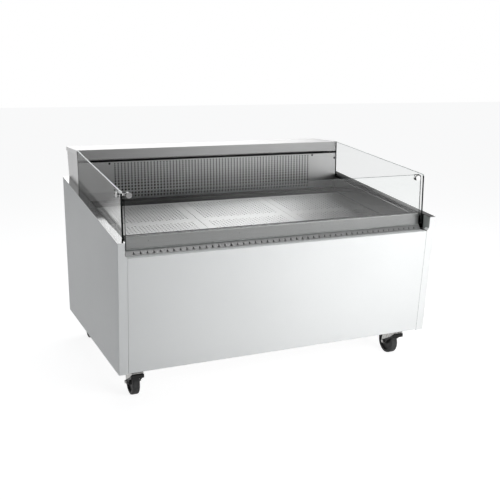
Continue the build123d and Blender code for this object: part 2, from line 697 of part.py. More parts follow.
def compressor():
    """Hermetic compressor: a domed shell on a foot plate with four round feet."""
    x, y = COMPRESSOR_X, COMPRESSOR_Y
    shell = rod((x, y, COMPRESSOR_FOOT), (0, 0, 1), COMPRESSOR_R, COMPRESSOR_TOP - COMPRESSOR_FOOT)
    rim_edge = shell.edges().filter_by(GeomType.CIRCLE).sort_by(Axis.Z)[-1]
    body = fillet(rim_edge, COMPRESSOR_DOME)
    long, wide = (size / 2 for size in COMPRESSOR_PLATE)
    body += block((x - long, x + long), (y - wide, y + wide), (COMPRESSOR_FOOT - 2 * SHEET, COMPRESSOR_FOOT))
    for foot_x in (x - long + FOOT_INSET, x + long - FOOT_INSET):
        for foot_y in (y - wide + FOOT_INSET, y + wide - FOOT_INSET):
            body += rod((foot_x, foot_y, MACHINE_FLOOR), (0, 0, 1), COMPRESSOR_LIFT / 2, COMPRESSOR_LIFT)
    return body


def condenser_shroud():
    """Sheet hood from the condenser to the fan opening."""
    z = (MACHINE_FLOOR, CONDENSER_TOP)
    hood = block(CONDENSER_X, (SHROUD_FRONT, CONDENSER_FRONT), z)
    inside = block((CONDENSER_X[0] + SHEET, CONDENSER_X[1] - SHEET), (SHROUD_FRONT + SHEET, CONDENSER_FRONT),
                   (z[0] + SHEET, z[1] - SHEET))
    return hood - inside - rod((BIG_FAN_X, 0, BIG_FAN_Z), (0, 1, 0), BIG_FAN_R + FAN_GAP, DEPTH)


def refrigerant_pipe():
    """Hot gas pipe from the compressor's dome over to the condenser."""
    x, y = COMPRESSOR_X, COMPRESSOR_Y
    start = (x, y, COMPRESSOR_TOP - PIPE_SINK)
    level = CONDENSER_TOP - PIPE_DROP
    target = (CONDENSER_FRONT + CONDENSER_REAR) / 2
    end = (CONDENSER_X[0] + PIPE_SINK, target, level)
    route = FilletPolyline(start, (x, y, level), (x, target, level), end, radius=PIPE_BEND)
    return sweep(Plane(origin=start, z_dir=(0, 0, 1)) * Circle(PIPE_R), path=route)


def rear_panel():
    """Rear service panel with two banks of hooded louvres and openings for what passes it."""
    panel = block((-INNER, INNER), (REAR_INNER, BODY_DEPTH), (RIDE + PANEL_FOOT, REAR_PANEL_TOP))
    through = (REAR_INNER - SHEET, BODY_DEPTH + SHEET)
    for middle in LOUVRE_X:
        x = (middle - LOUVRE_HALF, middle + LOUVRE_HALF)
        for i in range(LOUVRE_COUNT):
            low = LOUVRE_LOW + i * LOUVRE_PITCH
            high = low + LOUVRE_SLOT
            edge = BODY_DEPTH + LOUVRE_REACH
            panel -= block(x, through, (low, high))
            hood = [(BODY_DEPTH, high), (BODY_DEPTH, high + SHEET), (edge, low + SHEET), (edge, low)]
            panel += prism(hood, x)
    panel -= block(CONTROL_X, through, CONTROL_Z)
    panel -= rod((0, through[0], DRAIN_OUT_Z), (0, 1, 0), DRAIN_R + BODY_GAP, 3 * SHEET)
    return panel - rod((GLAND_X, through[0], GLAND_Z), (0, 1, 0), GLAND_STUB, 3 * SHEET)


def control_box():
    """Control box behind the rear panel with a bezel, a switch pocket and a thermostat bore."""
    box = block(CONTROL_X, (CONTROL_BACK, BODY_DEPTH), CONTROL_Z)
    box += block((CONTROL_X[0] - BEZEL_RIM, CONTROL_X[1] + BEZEL_RIM), (BODY_DEPTH, BEZEL_FACE),
                 (CONTROL_Z[0] - BEZEL_RIM, CONTROL_Z[1] + BEZEL_RIM))
    room = ROCKER_WIDTH / 2 + BODY_GAP
    box -= block((ROCKER_X - room, ROCKER_X + room), (BEZEL_FACE - ROCKER_POCKET, BEZEL_FACE + SHEET),
                 (CONTROL_MID - ROCKER_POCKET, CONTROL_MID + ROCKER_POCKET))
    pin_room = ROCKER_PIN_HALF + ROCKER_PIN
    box -= rod((ROCKER_X - pin_room, ROCKER_PIVOT, CONTROL_MID), ACROSS, ROCKER_PIN + RUN_FIT, 2 * pin_room)
    bore = KNOB_SHAFT_LENGTH + BEZEL
    return box - rod((KNOB_X, BEZEL_FACE - bore, CONTROL_MID), (0, 1, 0), KNOB_SHAFT + RUN_FIT, 2 * bore)


def rocker_switch():
    """Two-way mains rocker on a cross pin, stored with its lower half pressed in."""
    half = ROCKER_TALL / 2
    dip = BEZEL_FACE - ROCKER_DIP
    back = ROCKER_PIVOT - ROCKER_DEEP
    outline = [(back, -ROCKER_BACK / 2), (dip, -half), (BEZEL_FACE + ROCKER_CROWN, 0), (dip, half),
               (back, ROCKER_BACK / 2)]
    rocker = prism([(y, CONTROL_MID + z) for y, z in outline],
                   (ROCKER_X - ROCKER_WIDTH / 2, ROCKER_X + ROCKER_WIDTH / 2))
    pin_start = (ROCKER_X - ROCKER_PIN_HALF, ROCKER_PIVOT, CONTROL_MID)
    rocker += rod(pin_start, ACROSS, ROCKER_PIN, 2 * ROCKER_PIN_HALF)
    return rocker.rotate(Axis((0, ROCKER_PIVOT, CONTROL_MID), ACROSS), -ROCKER_TILT)


def thermostat_knob():
    """Round thermostat knob with grip flutes and a pointer nib, on its shaft."""
    face = BEZEL_FACE + BODY_GAP
    front = face + KNOB_R
    knob = rod((KNOB_X, face, CONTROL_MID), (0, 1, 0), KNOB_R, KNOB_R)
    for i in range(KNOB_FLUTES):
        angle = 2 * pi * i / KNOB_FLUTES
        spot = (KNOB_X + FLUTE_AT * cos(angle), face + BEZEL, CONTROL_MID + FLUTE_AT * sin(angle))
        knob -= rod(spot, (0, 1, 0), FLUTE_R, KNOB_R)
    knob += block((KNOB_X - NIB_WIDTH / 2, KNOB_X + NIB_WIDTH / 2), (front - NIB_RISE, front + NIB_RISE),
                  (CONTROL_MID, CONTROL_MID + NIB_LENGTH))
    return knob + rod((KNOB_X, face, CONTROL_MID), (0, -1, 0), KNOB_SHAFT, KNOB_SHAFT_LENGTH)


def cable_gland():
    """Cable gland in the rear panel: hexagon outside, stub inside, open bore."""
    gland = nut((GLAND_X, BODY_DEPTH, GLAND_Z), (0, 1, 0), GLAND_R, GLAND_OUT)
    gland += rod((GLAND_X, BODY_DEPTH, GLAND_Z), (0, -1, 0), GLAND_STUB, GLAND_OUT)
    return gland - rod((GLAND_X, 0, GLAND_Z), (0, 1, 0), GLAND_BORE, DEPTH)


def castor_plates():
    """Castor top plates with their kingpins, bolted under the side rails."""
    long, wide, thick = CASTOR_PLATE
    pin_low = CROWN_LOW - BODY_GAP
    plates = []
    for x in (-CASTOR_X, CASTOR_X):
        for y in CASTOR_Y:
            plate = block((x - long / 2, x + long / 2), (y - wide / 2, y + wide / 2), (CASTOR_TOP, RIDE))
            plate = fillet(plate.edges().filter_by(Axis.Z), 2 * thick)
            pin = rod((x, y, pin_low), (0, 0, 1), KINGPIN_R, CASTOR_TOP - pin_low)
            head = rod((x, y, pin_low), (0, 0, -1), KINGPIN_HEAD_R, KINGPIN_HEAD)
            plates.append(plate + pin + head)
    return plates


def castor_fork(x, y):
    """Swivel fork: ball-race crown with two pressed legs that sweep back to the axle."""
    wheel = y + TRAIL
    nose = -TRAIL - RACE_R - FORK_NOSE
    sweep_back = [(dy, WHEEL_R + dz) for dy, dz in FORK_SWEEP]
    leg = [(FORK_TAIL, CROWN_TOP), *sweep_back, (nose, CROWN_LOW), (nose, CROWN_TOP)]
    route = FilletPolyline(*[(wheel + dy, z) for dy, z in leg], radius=FORK_ROUNDS, close=True)
    cheek = make_face(route)
    fork = block((x - LEG_OUT, x + LEG_OUT), (wheel + nose, wheel + FORK_TAIL), (CROWN_LOW, CROWN_TOP))
    for inner in (-LEG_OUT, LEG_IN):
        fork += extrude(Plane.YZ.offset(x + inner) * cheek, amount=LEG_THICK, dir=ACROSS)
    race = rod((x, y, CROWN_LOW), (0, 0, 1), RACE_R, CASTOR_TOP - BODY_GAP - CROWN_LOW)
    fork += chamfer(race.edges().filter_by(GeomType.CIRCLE).sort_by(Axis.Z)[-1], RACE_BEVEL)
    fork -= rod((x, y, 0), (0, 0, 1), KINGPIN_R + RUN_FIT, RIDE)
    return fork - rod((x - HALF, wheel, WHEEL_R), ACROSS, AXLE_R + RUN_FIT, WIDTH)


def castor_axle(x, y, half):
    """Axle bolt with a hexagon head and nut."""
    wheel = y + TRAIL
    axle = rod((x - half, wheel, WHEEL_R), ACROSS, AXLE_R, 2 * half)
    axle += nut((x + half, wheel, WHEEL_R), ACROSS, AXLE_HEAD_R, AXLE_HEAD)
    return axle + nut((x - half, wheel, WHEEL_R), (-1, 0, 0), AXLE_HEAD_R, AXLE_HEAD)


def castor_wheel(x, y):
    """Wheel: crowned tread, dished sides and a bored hub."""
    rim_in = WHEEL_R - RIM_DEPTH
    half = [(HUB_HALF, AXLE_R + RUN_FIT), (HUB_HALF, HUB_R), (WEB_HALF, HUB_R + DISH), (WEB_HALF, rim_in),
            (TREAD_HALF, rim_in + DISH), (TREAD_HALF, WHEEL_R - SHOULDER),
            (TREAD_EDGE, WHEEL_R - TREAD_FALL), (TREAD_FLAT, WHEEL_R)]
    profile = half + [(-across, radius) for across, radius in reversed(half)]
    wheel = revolve(Plane.XY * Polygon(*profile, align=None), axis=Axis.X)
    return Pos(x, y + TRAIL, WHEEL_R) * wheel


def brake_pedal(x, y):
    """Brake pedal: a tread lip under the fork's nose on two arms that pivot on the axle."""
    wheel = y + TRAIL
    heel = PEDAL_TOP - PEDAL_FALL
    brow = PEDAL_TOP - PEDAL_BEVEL
    tip = [(-PEDAL_TIP, brow - PEDAL_EDGE), (-PEDAL_TIP, brow), (PEDAL_NOSE - PEDAL_TIP, PEDAL_TOP),
           (-PEDAL_HEEL, heel)]
    lip = [*tip, (-PEDAL_HEEL, heel - PEDAL_LIP)]
    arm = [(0, -PEDAL_BOSS), (-PEDAL_HEEL, heel - PEDAL_ARM), *tip, (0, PEDAL_BOSS)]

    def placed(points):
        return [(wheel + dy, WHEEL_R + dz) for dy, dz in points]

    pedal = prism(placed(lip), (x - PEDAL_OUT, x + PEDAL_OUT))
    for inner in (-PEDAL_OUT, PEDAL_IN):
        pedal += prism(placed(arm), (x + inner, x + inner + PEDAL_THICK))
        pedal += rod((x + inner, wheel, WHEEL_R), ACROSS, PEDAL_BOSS, PEDAL_THICK)
    plan = block((x - PEDAL_OUT, x + PEDAL_OUT), (wheel - PEDAL_TIP, wheel + PEDAL_BOSS), (0, RIDE))
    pedal &= fillet(plan.edges().filter_by(Axis.Z).group_by(Axis.Y)[0], PEDAL_CORNER)
    return pedal - rod((x - HALF, wheel, WHEEL_R), ACROSS, AXLE_R + RUN_FIT, WIDTH)


def castors():
    """The four castors by place; the front pair has brakes."""
    nodes = {"castor_plates": castor_plates()}
    for row, y in zip(("front", "rear"), CASTOR_Y):
        for side, x in (("left", -CASTOR_X), ("right", CASTOR_X)):
            name = f"{row}_{side}"
            braked = row == "front"
            nodes[f"castor_fork_{name}"] = castor_fork(x, y)
            nodes[f"castor_axle_{name}"] = castor_axle(x, y, PEDAL_OUT + BODY_GAP if braked else LEG_OUT)
            nodes[f"castor_wheel_{name}"] = castor_wheel(x, y)
            if braked:
                nodes[f"brake_pedal_{side}"] = brake_pedal(x, y)
    return nodes


def cabinet():
    """Cabinet shell, rail, glass and well."""
    nodes = {"front_panel": front_panel(), "front_rail": front_rail(), "front_glass": front_glass()}
    pairs = {"end_panel": end_panel(), "end_lining": end_lining(), "glass_channel": glass_channel(),
             "side_glass": side_glass(), "glass_clamp": glass_clamp()}
    for name, right in pairs.items():
        nodes[f"{name}_right"] = right
        nodes[f"{name}_left"] = mirrored(right)
    for place, side in zip(DECK_PLACES, ("left", "centre", "right")):
        nodes[f"deck_plate_{side}"] = deck_plate(place)
    nodes["deck_bearers"] = deck_bearers()
    nodes["well_floor"] = well_floor()
    nodes["well_front_wall"] = well_wall((RAIL_REAR, RAIL_REAR + WALL_THICK), FRONT_WALL_TOP, CHANNEL_IN)
    nodes["well_rear_wall"] = well_wall((REAR_WALL, REAR_WALL + REAR_WALL_THICK), REAR_WALL_TOP, INNER)
    nodes["drain_pipe"] = drain_pipe()
    return nodes


def head():
    """Rear head with its cover sheets and cooling parts."""
    cap = head_cap()
    return {
        "head_floor": head_floor(),
        "head_cap_right": cap,
        "head_cap_left": mirrored(cap),
        "head_lid": head_lid(),
        "head_fascia": head_fascia(),
        "head_back": head_back(),
        "discharge_panel": discharge_panel(),
        "drip_tray": drip_tray(),
        "fan_plate": fan_plate(),
        "evaporator_coil": finned_block((-COIL_HALF, COIL_HALF), (COIL_FRONT, COIL_REAR),
                                        (HEAD_FLOOR + SHEET, COIL_TOP)),
    }


def fans():
    """Evaporator fans in the head and the condenser fan: motors as one group, rotors one by one."""
    places = {
        "fan_rotor_left": (-FAN_SPREAD, FAN_PLATE, FAN_Z, FAN_R, FAN_WIDTH, FAN_HUB),
        "fan_rotor_right": (FAN_SPREAD, FAN_PLATE, FAN_Z, FAN_R, FAN_WIDTH, FAN_HUB),
        "condenser_fan_rotor": (BIG_FAN_X, SHROUD_FRONT, BIG_FAN_Z, BIG_FAN_R, BIG_FAN_WIDTH, BIG_FAN_HUB),
    }
    nodes = {name: fan_rotor(*place) for name, place in places.items()}
    nodes["fan_motors"] = [fan_motor(*place[:-1]) for place in places.values()]
    return nodes


def machine():
    """Base, condensing unit, rear panel and controls."""
    return {
        "base_frame": base_frame(),
        "compressor": compressor(),
        "condenser_coil": finned_block(CONDENSER_X, (CONDENSER_FRONT, CONDENSER_REAR),
                                       (MACHINE_FLOOR, CONDENSER_TOP)),
        "condenser_shroud": condenser_shroud(),
        "refrigerant_pipe": refrigerant_pipe(),
        "rear_panel": rear_panel(),
        "control_box": control_box(),
        "rocker_switch": rocker_switch(),
        "thermostat_knob": thermostat_knob(),
        "cable_gland": cable_gland(),
    }


def save(name, shape):
    """Write one node, with the origin moved to the middle of the depth."""
    solids = shape if isinstance(shape, list) else [shape]
    moved = [Pos(0, -DEPTH / 2, 0) * solid for item in solids for solid in item.solids()]
    export_step(moved[0] if len(moved) == 1 else Compound(children=moved), f"parts/{name}.step")


os.makedirs("parts", exist_ok=True)
for name, shape in {**cabinet(), **head(), **fans(), **machine(), **castors()}.items():
    save(name, shape)
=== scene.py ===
"""Looks of the fish display case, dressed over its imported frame. Metres, +Z up."""
import json
from math import atan2, cos, pi, radians, sin, tan

import bmesh
import bpy
from mathutils import Matrix, Vector


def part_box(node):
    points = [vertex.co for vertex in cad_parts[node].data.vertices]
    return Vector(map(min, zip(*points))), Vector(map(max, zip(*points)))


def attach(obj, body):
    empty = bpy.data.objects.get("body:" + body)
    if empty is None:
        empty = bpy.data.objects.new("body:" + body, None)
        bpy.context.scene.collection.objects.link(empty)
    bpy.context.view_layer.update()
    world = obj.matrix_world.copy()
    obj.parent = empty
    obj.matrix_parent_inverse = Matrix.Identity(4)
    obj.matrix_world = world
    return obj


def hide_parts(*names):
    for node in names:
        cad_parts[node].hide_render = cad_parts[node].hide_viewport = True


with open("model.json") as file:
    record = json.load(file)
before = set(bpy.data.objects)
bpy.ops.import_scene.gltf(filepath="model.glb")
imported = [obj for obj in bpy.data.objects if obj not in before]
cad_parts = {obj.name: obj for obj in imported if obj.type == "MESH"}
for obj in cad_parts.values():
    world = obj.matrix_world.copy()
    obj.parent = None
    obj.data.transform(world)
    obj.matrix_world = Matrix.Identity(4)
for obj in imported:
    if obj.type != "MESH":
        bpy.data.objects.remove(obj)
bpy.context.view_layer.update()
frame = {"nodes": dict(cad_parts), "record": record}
nodes = frame["nodes"]

# Places from the part's drawing, in millimetres: x from the middle, y from the front, z from the floor
MIDDLE = 559.0
RIM_FRONT = 711.3
RIM_SLOPE = tan(radians(7.4))
DECK_DEPTH = 93.0
SIDES = ((-1, "left"), (1, "right"))


def at(x, y, z):
    """Drawing place in millimetres to the model's metres."""
    return Vector((x / 1000, (y - MIDDLE) / 1000, z / 1000))


def rim(y):
    """Height of the sloping rim."""
    return RIM_FRONT + RIM_SLOPE * y


# Nodes of materials and of the studio

MIX_A, MIX_B, MIX_RESULT = 6, 7, 2    # colour sockets of a Mix node
FAINT, STRONG = 0.3, 0.7    # most of a noise's values lie between these


def map_range(tree, source, start, end, low=0.0, high=1.0, smooth=False):
    """Value carried from one range to another."""
    node = tree.nodes.new("ShaderNodeMapRange")
    if smooth:
        node.interpolation_type = "SMOOTHSTEP"
    for name, value in (("From Min", start), ("From Max", end), ("To Min", low), ("To Max", high)):
        node.inputs[name].default_value = value
    tree.links.new(source, node.inputs["Value"])
    return node.outputs["Result"]


def colour_ramp(tree, source, stops, ease=False):
    """Colour that a value picks between stops, each a place and a colour."""
    node = tree.nodes.new("ShaderNodeValToRGB")
    ramp = node.color_ramp
    if ease:
        ramp.interpolation = "EASE"
    while len(ramp.elements) < len(stops):
        ramp.elements.new(0.5)
    for element, (place, colour) in zip(ramp.elements, stops):
        element.position = place
        element.color = (*colour, 1)
    tree.links.new(source, node.inputs["Fac"])
    return node.outputs["Color"]


def calculate(tree, operation, a, b=0.0):
    """Result of one operation on sockets or numbers."""
    node = tree.nodes.new("ShaderNodeMath")
    node.operation = operation
    for socket, value in zip(node.inputs, (a, b)):
        if isinstance(value, (int, float)):
            socket.default_value = value
        else:
            tree.links.new(value, socket)
    return node.outputs["Value"]


def blend(tree, share, a, b):
    """Mix of two colours, each a socket or a constant."""
    node = tree.nodes.new("ShaderNodeMix")
    node.data_type = "RGBA"
    tree.links.new(share, node.inputs["Factor"])
    for socket, value in ((node.inputs[MIX_A], a), (node.inputs[MIX_B], b)):
        if isinstance(value, tuple):
            socket.default_value = (*value, 1)
        else:
            tree.links.new(value, socket)
    return node.outputs[MIX_RESULT]


def grey(value, tint=(1, 1, 1)):
    """Colour of one tone, with a tint."""
    return tuple(value * t for t in tint)


class Shade:
    """A node material with one main shader and short ways to add nodes to it."""

    def __init__(self, name, **values):
        self.mat = bpy.data.materials.new(name)
        self.mat.use_nodes = True
        self.tree = self.mat.node_tree
        self.bsdf = self.tree.nodes["Principled BSDF"]
        self.out = self.tree.nodes["Material Output"]
        for socket, value in values.items():
            self.bsdf.inputs[socket.replace("_", " ")].default_value = value
        self.place = self.add("ShaderNodeTexCoord").outputs["Object"]

    def add(self, kind, **settings):
        node = self.tree.nodes.new(kind)
        for key, value in settings.items():
            setattr(node, key, value)
        return node

    def link(self, a, b):
        self.tree.links.new(a, b)

    def noise(self, scale, detail=2.0, rough=0.5, stretch=(1, 1, 1)):
        mapping = self.add("ShaderNodeMapping")
        mapping.inputs["Scale"].default_value = stretch
        self.link(self.place, mapping.inputs["Vector"])
        node = self.add("ShaderNodeTexNoise")
        node.inputs["Scale"].default_value = scale
        node.inputs["Detail"].default_value = detail
        node.inputs["Roughness"].default_value = rough
        self.link(mapping.outputs["Vector"], node.inputs["Vector"])
        return node.outputs["Fac"]

    def sum_of(self, a, share_a, b, share_b):
        """Two textures added by their shares."""
        return calculate(self.tree, "ADD", calculate(self.tree, "MULTIPLY", a, share_a),
                         calculate(self.tree, "MULTIPLY", b, share_b))

    def colour(self, source, *stops):
        self.link(colour_ramp(self.tree, source, stops), self.bsdf.inputs["Base Color"])

    def tones(self, source, low, high, tint=(1, 1, 1), start=FAINT, end=STRONG):
        """Base colour between two tones of a tint."""
        self.colour(source, (start, grey(low, tint)), (end, grey(high, tint)))

    def rough(self, source, low, high):
        self.link(map_range(self.tree, source, FAINT, STRONG, low, high), self.bsdf.inputs["Roughness"])

    def bump(self, height, strength, distance):
        node = self.add("ShaderNodeBump")
        node.inputs["Strength"].default_value = strength
        node.inputs["Distance"].default_value = distance
        self.link(height, node.inputs["Height"])
        self.link(node.outputs["Normal"], self.bsdf.inputs["Normal"])

    def mix(self, share, a, b):
        """Two shaders mixed by a share."""
        node = self.add("ShaderNodeMixShader")
        self.link(share, node.inputs["Fac"])
        self.link(a, node.inputs[1])
        self.link(b, node.inputs[2])
        return node.outputs["Shader"]

    def show(self, shader):
        self.link(shader, self.out.inputs["Surface"])


# Materials

def powder_coat(name, tone, tint):
    """Satin powder coat: fine orange peel and a barely uneven tone."""
    s = Shade(name, Specular_IOR_Level=0.45)
    s.tones(s.noise(scale=3.0, detail=4.0), low=tone * 0.975, high=tone, tint=tint)
    s.rough(s.noise(scale=40.0, detail=3.0), low=0.34, high=0.46)
    s.bump(s.noise(scale=420.0), strength=0.06, distance=0.0004)
    return s.mat


def brushed(name, tone, rough, along, contrast=0.14, spread=0.10):
    """Brushed steel: long fine lines along one axis in tone, gloss and relief."""
    s = Shade(name, Metallic=1.0)

    def drawn_out(share):
        return [share if axis == along else 1.0 for axis in "XYZ"]

    lines = s.noise(scale=900.0, detail=3.0, rough=0.65, stretch=drawn_out(0.012))
    bands = s.noise(scale=60.0, detail=3.0, rough=0.6, stretch=drawn_out(0.05))
    mixed = s.sum_of(lines, 0.65, bands, 0.35)
    s.tones(mixed, low=tone * (1 - contrast), high=tone * (1 + contrast / 3))
    s.rough(mixed, low=rough - spread / 2, high=rough + spread / 2)
    s.bump(lines, strength=0.12, distance=0.0003)
    return s.mat


def bright_annealed(name, tone, rough):
    """Mirror-bright sheet: hardly brushed, with a faint roll line and a slow drift of gloss."""
    s = Shade(name, Metallic=1.0)
    lines = s.noise(scale=500.0, rough=0.6, stretch=(1, 0.02, 1))
    s.tones(lines, low=tone * 0.95, high=tone)
    s.rough(s.noise(scale=6.0, detail=3.0), low=rough - 0.02, high=rough + 0.03)
    s.bump(lines, strength=0.02, distance=0.0002)
    return s.mat


def laid_steel(name, low, high, rough, lay):
    """Sheet brushed across: broad soft streaks, and the lay of its lines stretches reflections."""
    s = Shade(name, Metallic=1.0, Anisotropic=lay)
    bands = s.noise(scale=34.0, detail=3.0, rough=0.55, stretch=(0.10, 1, 1))
    cloud = s.noise(scale=9.0, detail=4.0, rough=0.6)
    mixed = s.sum_of(bands, 0.5, cloud, 0.5)
    s.tones(mixed, low, high)
    s.rough(mixed, low=rough - 0.02, high=rough + 0.02)
    s.bump(cloud, strength=0.02, distance=0.0005)
    tangent = s.add("ShaderNodeTangent", direction_type="UV_MAP", uv_map="lay")
    s.link(tangent.outputs["Tangent"], s.bsdf.inputs["Tangent"])
    return s.mat


def plated(name, tone, rough, tint=(1, 1, 1)):
    """Bright zinc plate: faint cloudy spangle and fine scuffs."""
    s = Shade(name, Metallic=1.0)
    cells = s.add("ShaderNodeTexVoronoi")
    cells.inputs["Scale"].default_value = 240.0
    s.link(s.place, cells.inputs["Vector"])
    cloud = s.sum_of(cells.outputs["Distance"], 0.35, s.noise(scale=70.0, detail=4.0), 0.7)
    s.tones(cloud, low=tone * 0.84, high=tone * 1.05, tint=tint)
    s.rough(s.noise(scale=120.0, detail=4.0), low=rough - 0.07, high=rough + 0.1)
    s.bump(s.noise(scale=800.0), strength=0.08, distance=0.0003)
    return s.mat


def moulded(name, tone, rough, grain, relief=0.18):
    """Moulded plastic or rubber: fine grain with a slightly dusty tone."""
    s = Shade(name, Specular_IOR_Level=0.4)
    s.tones(s.noise(scale=55.0, detail=4.0), low=tone * 0.8, high=tone * 1.2, end=0.72)
    s.rough(s.noise(scale=160.0, detail=3.0), low=rough - 0.08, high=rough + 0.1)
    s.bump(s.noise(scale=grain), strength=relief, distance=0.0005)
    return s.mat


def enamel(name, tone, rough):
    """Gloss enamel with visible orange peel."""
    s = Shade(name, Specular_IOR_Level=0.5, Coat_Weight=0.3)
    s.tones(s.noise(scale=25.0, detail=4.0), low=tone * 0.8, high=tone * 1.25)
    s.rough(s.noise(scale=90.0, detail=3.0), low=rough - 0.06, high=rough + 0.08)
    s.bump(s.noise(scale=260.0), strength=0.12, distance=0.0006)
    return s.mat


def finned(name, tone, metallic):
    """Thin fins, bare or blackened: close upright lines in tone and relief."""
    s = Shade(name, Metallic=metallic)
    wave = s.add("ShaderNodeTexWave", bands_direction="X")
    wave.inputs["Scale"].default_value = 120.0
    wave.inputs["Distortion"].default_value = 0.6
    s.link(s.place, wave.inputs["Vector"])
    s.tones(wave.outputs["Fac"], low=tone * 0.45, high=tone, start=0.1, end=0.8)
    s.rough(s.noise(scale=80.0, detail=3.0), low=0.28, high=0.42)
    s.bump(wave.outputs["Fac"], strength=0.4, distance=0.001)
    return s.mat


def copper(name):
    """Bare copper, browned in patches."""
    s = Shade(name, Metallic=1.0)
    s.colour(s.noise(scale=45.0, detail=5.0, rough=0.6),
             (0.3, (0.36, 0.16, 0.09)), (0.6, (0.72, 0.38, 0.25)), (0.8, (0.8, 0.47, 0.32)))
    s.rough(s.noise(scale=70.0, detail=4.0), low=0.2, high=0.45)
    s.bump(s.noise(scale=500.0), strength=0.06, distance=0.0003)
    return s.mat


def clear_glass(name):
    """Clear pane with a breath of green; lamps shine through it."""
    s = Shade(name, Transmission_Weight=1.0, IOR=1.36)
    s.colour(s.noise(scale=2.0), (FAINT, (0.99, 0.998, 0.995)), (STRONG, (0.982, 0.994, 0.99)))
    s.rough(s.noise(scale=9.0, detail=3.0), low=0.0, high=0.012)
    clear = s.add("ShaderNodeBsdfTransparent")
    clear.inputs["Color"].default_value = (0.94, 0.96, 0.95, 1)
    path = s.add("ShaderNodeLightPath")
    s.show(s.mix(path.outputs["Is Shadow Ray"], s.bsdf.outputs["BSDF"], clear.outputs["BSDF"]))
    return s.mat


def ground_edge(name, tone, rough, tint, gloss):
    """Ground glass edge: fine grinding lines over the pane's own green depth."""
    s = Shade(name, Specular_IOR_Level=gloss)
    s.tones(s.noise(scale=300.0, detail=3.0), low=tone * 0.85, high=tone * 1.1, tint=tint)
    s.rough(s.noise(scale=500.0), low=rough - 0.08, high=rough + 0.08)
    s.bump(s.noise(scale=700.0), strength=0.1, distance=0.0002)
    return s.mat


WHITE = powder_coat("white_powder_coat", tone=0.83, tint=(0.987, 1.0, 0.996))
# Grey for the end panels' inward faces: a painted shade of the corner between glass and flange
SHADED_INNER_FACE = powder_coat("panel_inner_face_painted_shade", tone=0.42, tint=(0.95, 1.0, 0.97))
ACROSS_STEEL = brushed("stainless_brushed_across", tone=0.56, rough=0.34, along="X")
# Brighter copy of the brushed steel for the fascia's lower fold: a painted highlight
LIT_FOLD_STEEL = brushed("stainless_fold_painted_highlight", tone=0.70, rough=0.18, along="X", contrast=0.06, spread=0.06)
CAP_STEEL = brushed("stainless_head_cap", tone=0.70, rough=0.36, along="Z")
RAIL_STEEL = brushed("stainless_front_rail", tone=0.56, rough=0.46, along="X")
# Lighter copy of the rail's steel for its foot below the knee: painted light
LIT_RAIL_FOOT = brushed("stainless_rail_foot_painted_light", tone=0.77, rough=0.5, along="X")
LID_STEEL = brushed("stainless_lid", tone=0.74, rough=0.36, along="X", contrast=0.06)
# Dark stainless for the well's lining: the tone is a painted shade of the deep well
SHADED_LINER = brushed("stainless_liner_painted_shade", tone=0.26, rough=0.45, along="X")
POLISHED = brushed("polished_steel", tone=0.72, rough=0.16, along="Z", contrast=0.06, spread=0.06)
BRIGHT_STEEL = bright_annealed("stainless_bright_annealed", tone=0.86, rough=0.08)
# Darker copy of the bright annealed steel for the right lining and channel: painted shade
SHADED_ANNEALED_STEEL = bright_annealed("stainless_annealed_painted_shade", tone=0.46, rough=0.08)
DECK = laid_steel("deck_brushed_steel", low=0.62, high=0.68, rough=0.30, lay=1.0)
PANEL_STEEL = laid_steel("discharge_brushed_steel", low=0.70, high=0.75, rough=0.34, lay=0.6)
# Lighter copy of the discharge panel's steel for its leaning foot: painted light
LIT_FOOT_STEEL = laid_steel("discharge_foot_painted_light", low=0.80, high=0.85, rough=0.36, lay=0.6)
ZINC = plated("zinc_plate", tone=0.56, rough=0.42)
FORK_ZINC = plated("bright_zinc_fork", tone=0.64, rough=0.30, tint=(1.0, 0.995, 0.97))
STEEL_SCREW = plated("steel_screw", tone=0.42, rough=0.30)
RUBBER = moulded("tyre_rubber", tone=0.058, rough=0.62, grain=700.0)
HUB = moulded("wheel_hub_plastic", tone=0.03, rough=0.45, grain=900.0)
PEDAL = moulded("pedal_black_plastic", tone=0.014, rough=0.40, grain=1100.0)
FAN = moulded("fan_black_plastic", tone=0.02, rough=0.42, grain=900.0)
PIPE = moulded("grey_drain_plastic", tone=0.30, rough=0.42, grain=500.0, relief=0.08)
CONTROL = moulded("control_black_plastic", tone=0.02, rough=0.44, grain=1200.0)
POINTER = moulded("pointer_white_plastic", tone=0.7, rough=0.5, grain=900.0, relief=0.05)
# Near-black for the top of the rail's fold and the end panels' flange edges: painted shade of the gaps there
GAP_SHADE_BLACK = moulded("painted_gap_shade_black", tone=0.012, rough=0.55, grain=900.0)
MOTOR = enamel("motor_black_enamel", tone=0.022, rough=0.34)
BLACK_SCREW = enamel("black_screw", tone=0.012, rough=0.38)
# Black for the fan plate and the head's floor: painted shade, so the holes in front read dark
SHADE_BLACK_PLATE = enamel("fan_plate_painted_shade_black", tone=0.02, rough=0.5)
FINS = finned("aluminium_fins", tone=0.72, metallic=1.0)
# Black for the evaporator's fins: painted shade of the head's dark inside
SHADE_BLACK_FINS = finned("evaporator_fins_painted_shade", tone=0.03, metallic=0.0)
COPPER = copper("copper_pipe")
GLASS = clear_glass("clear_glass")
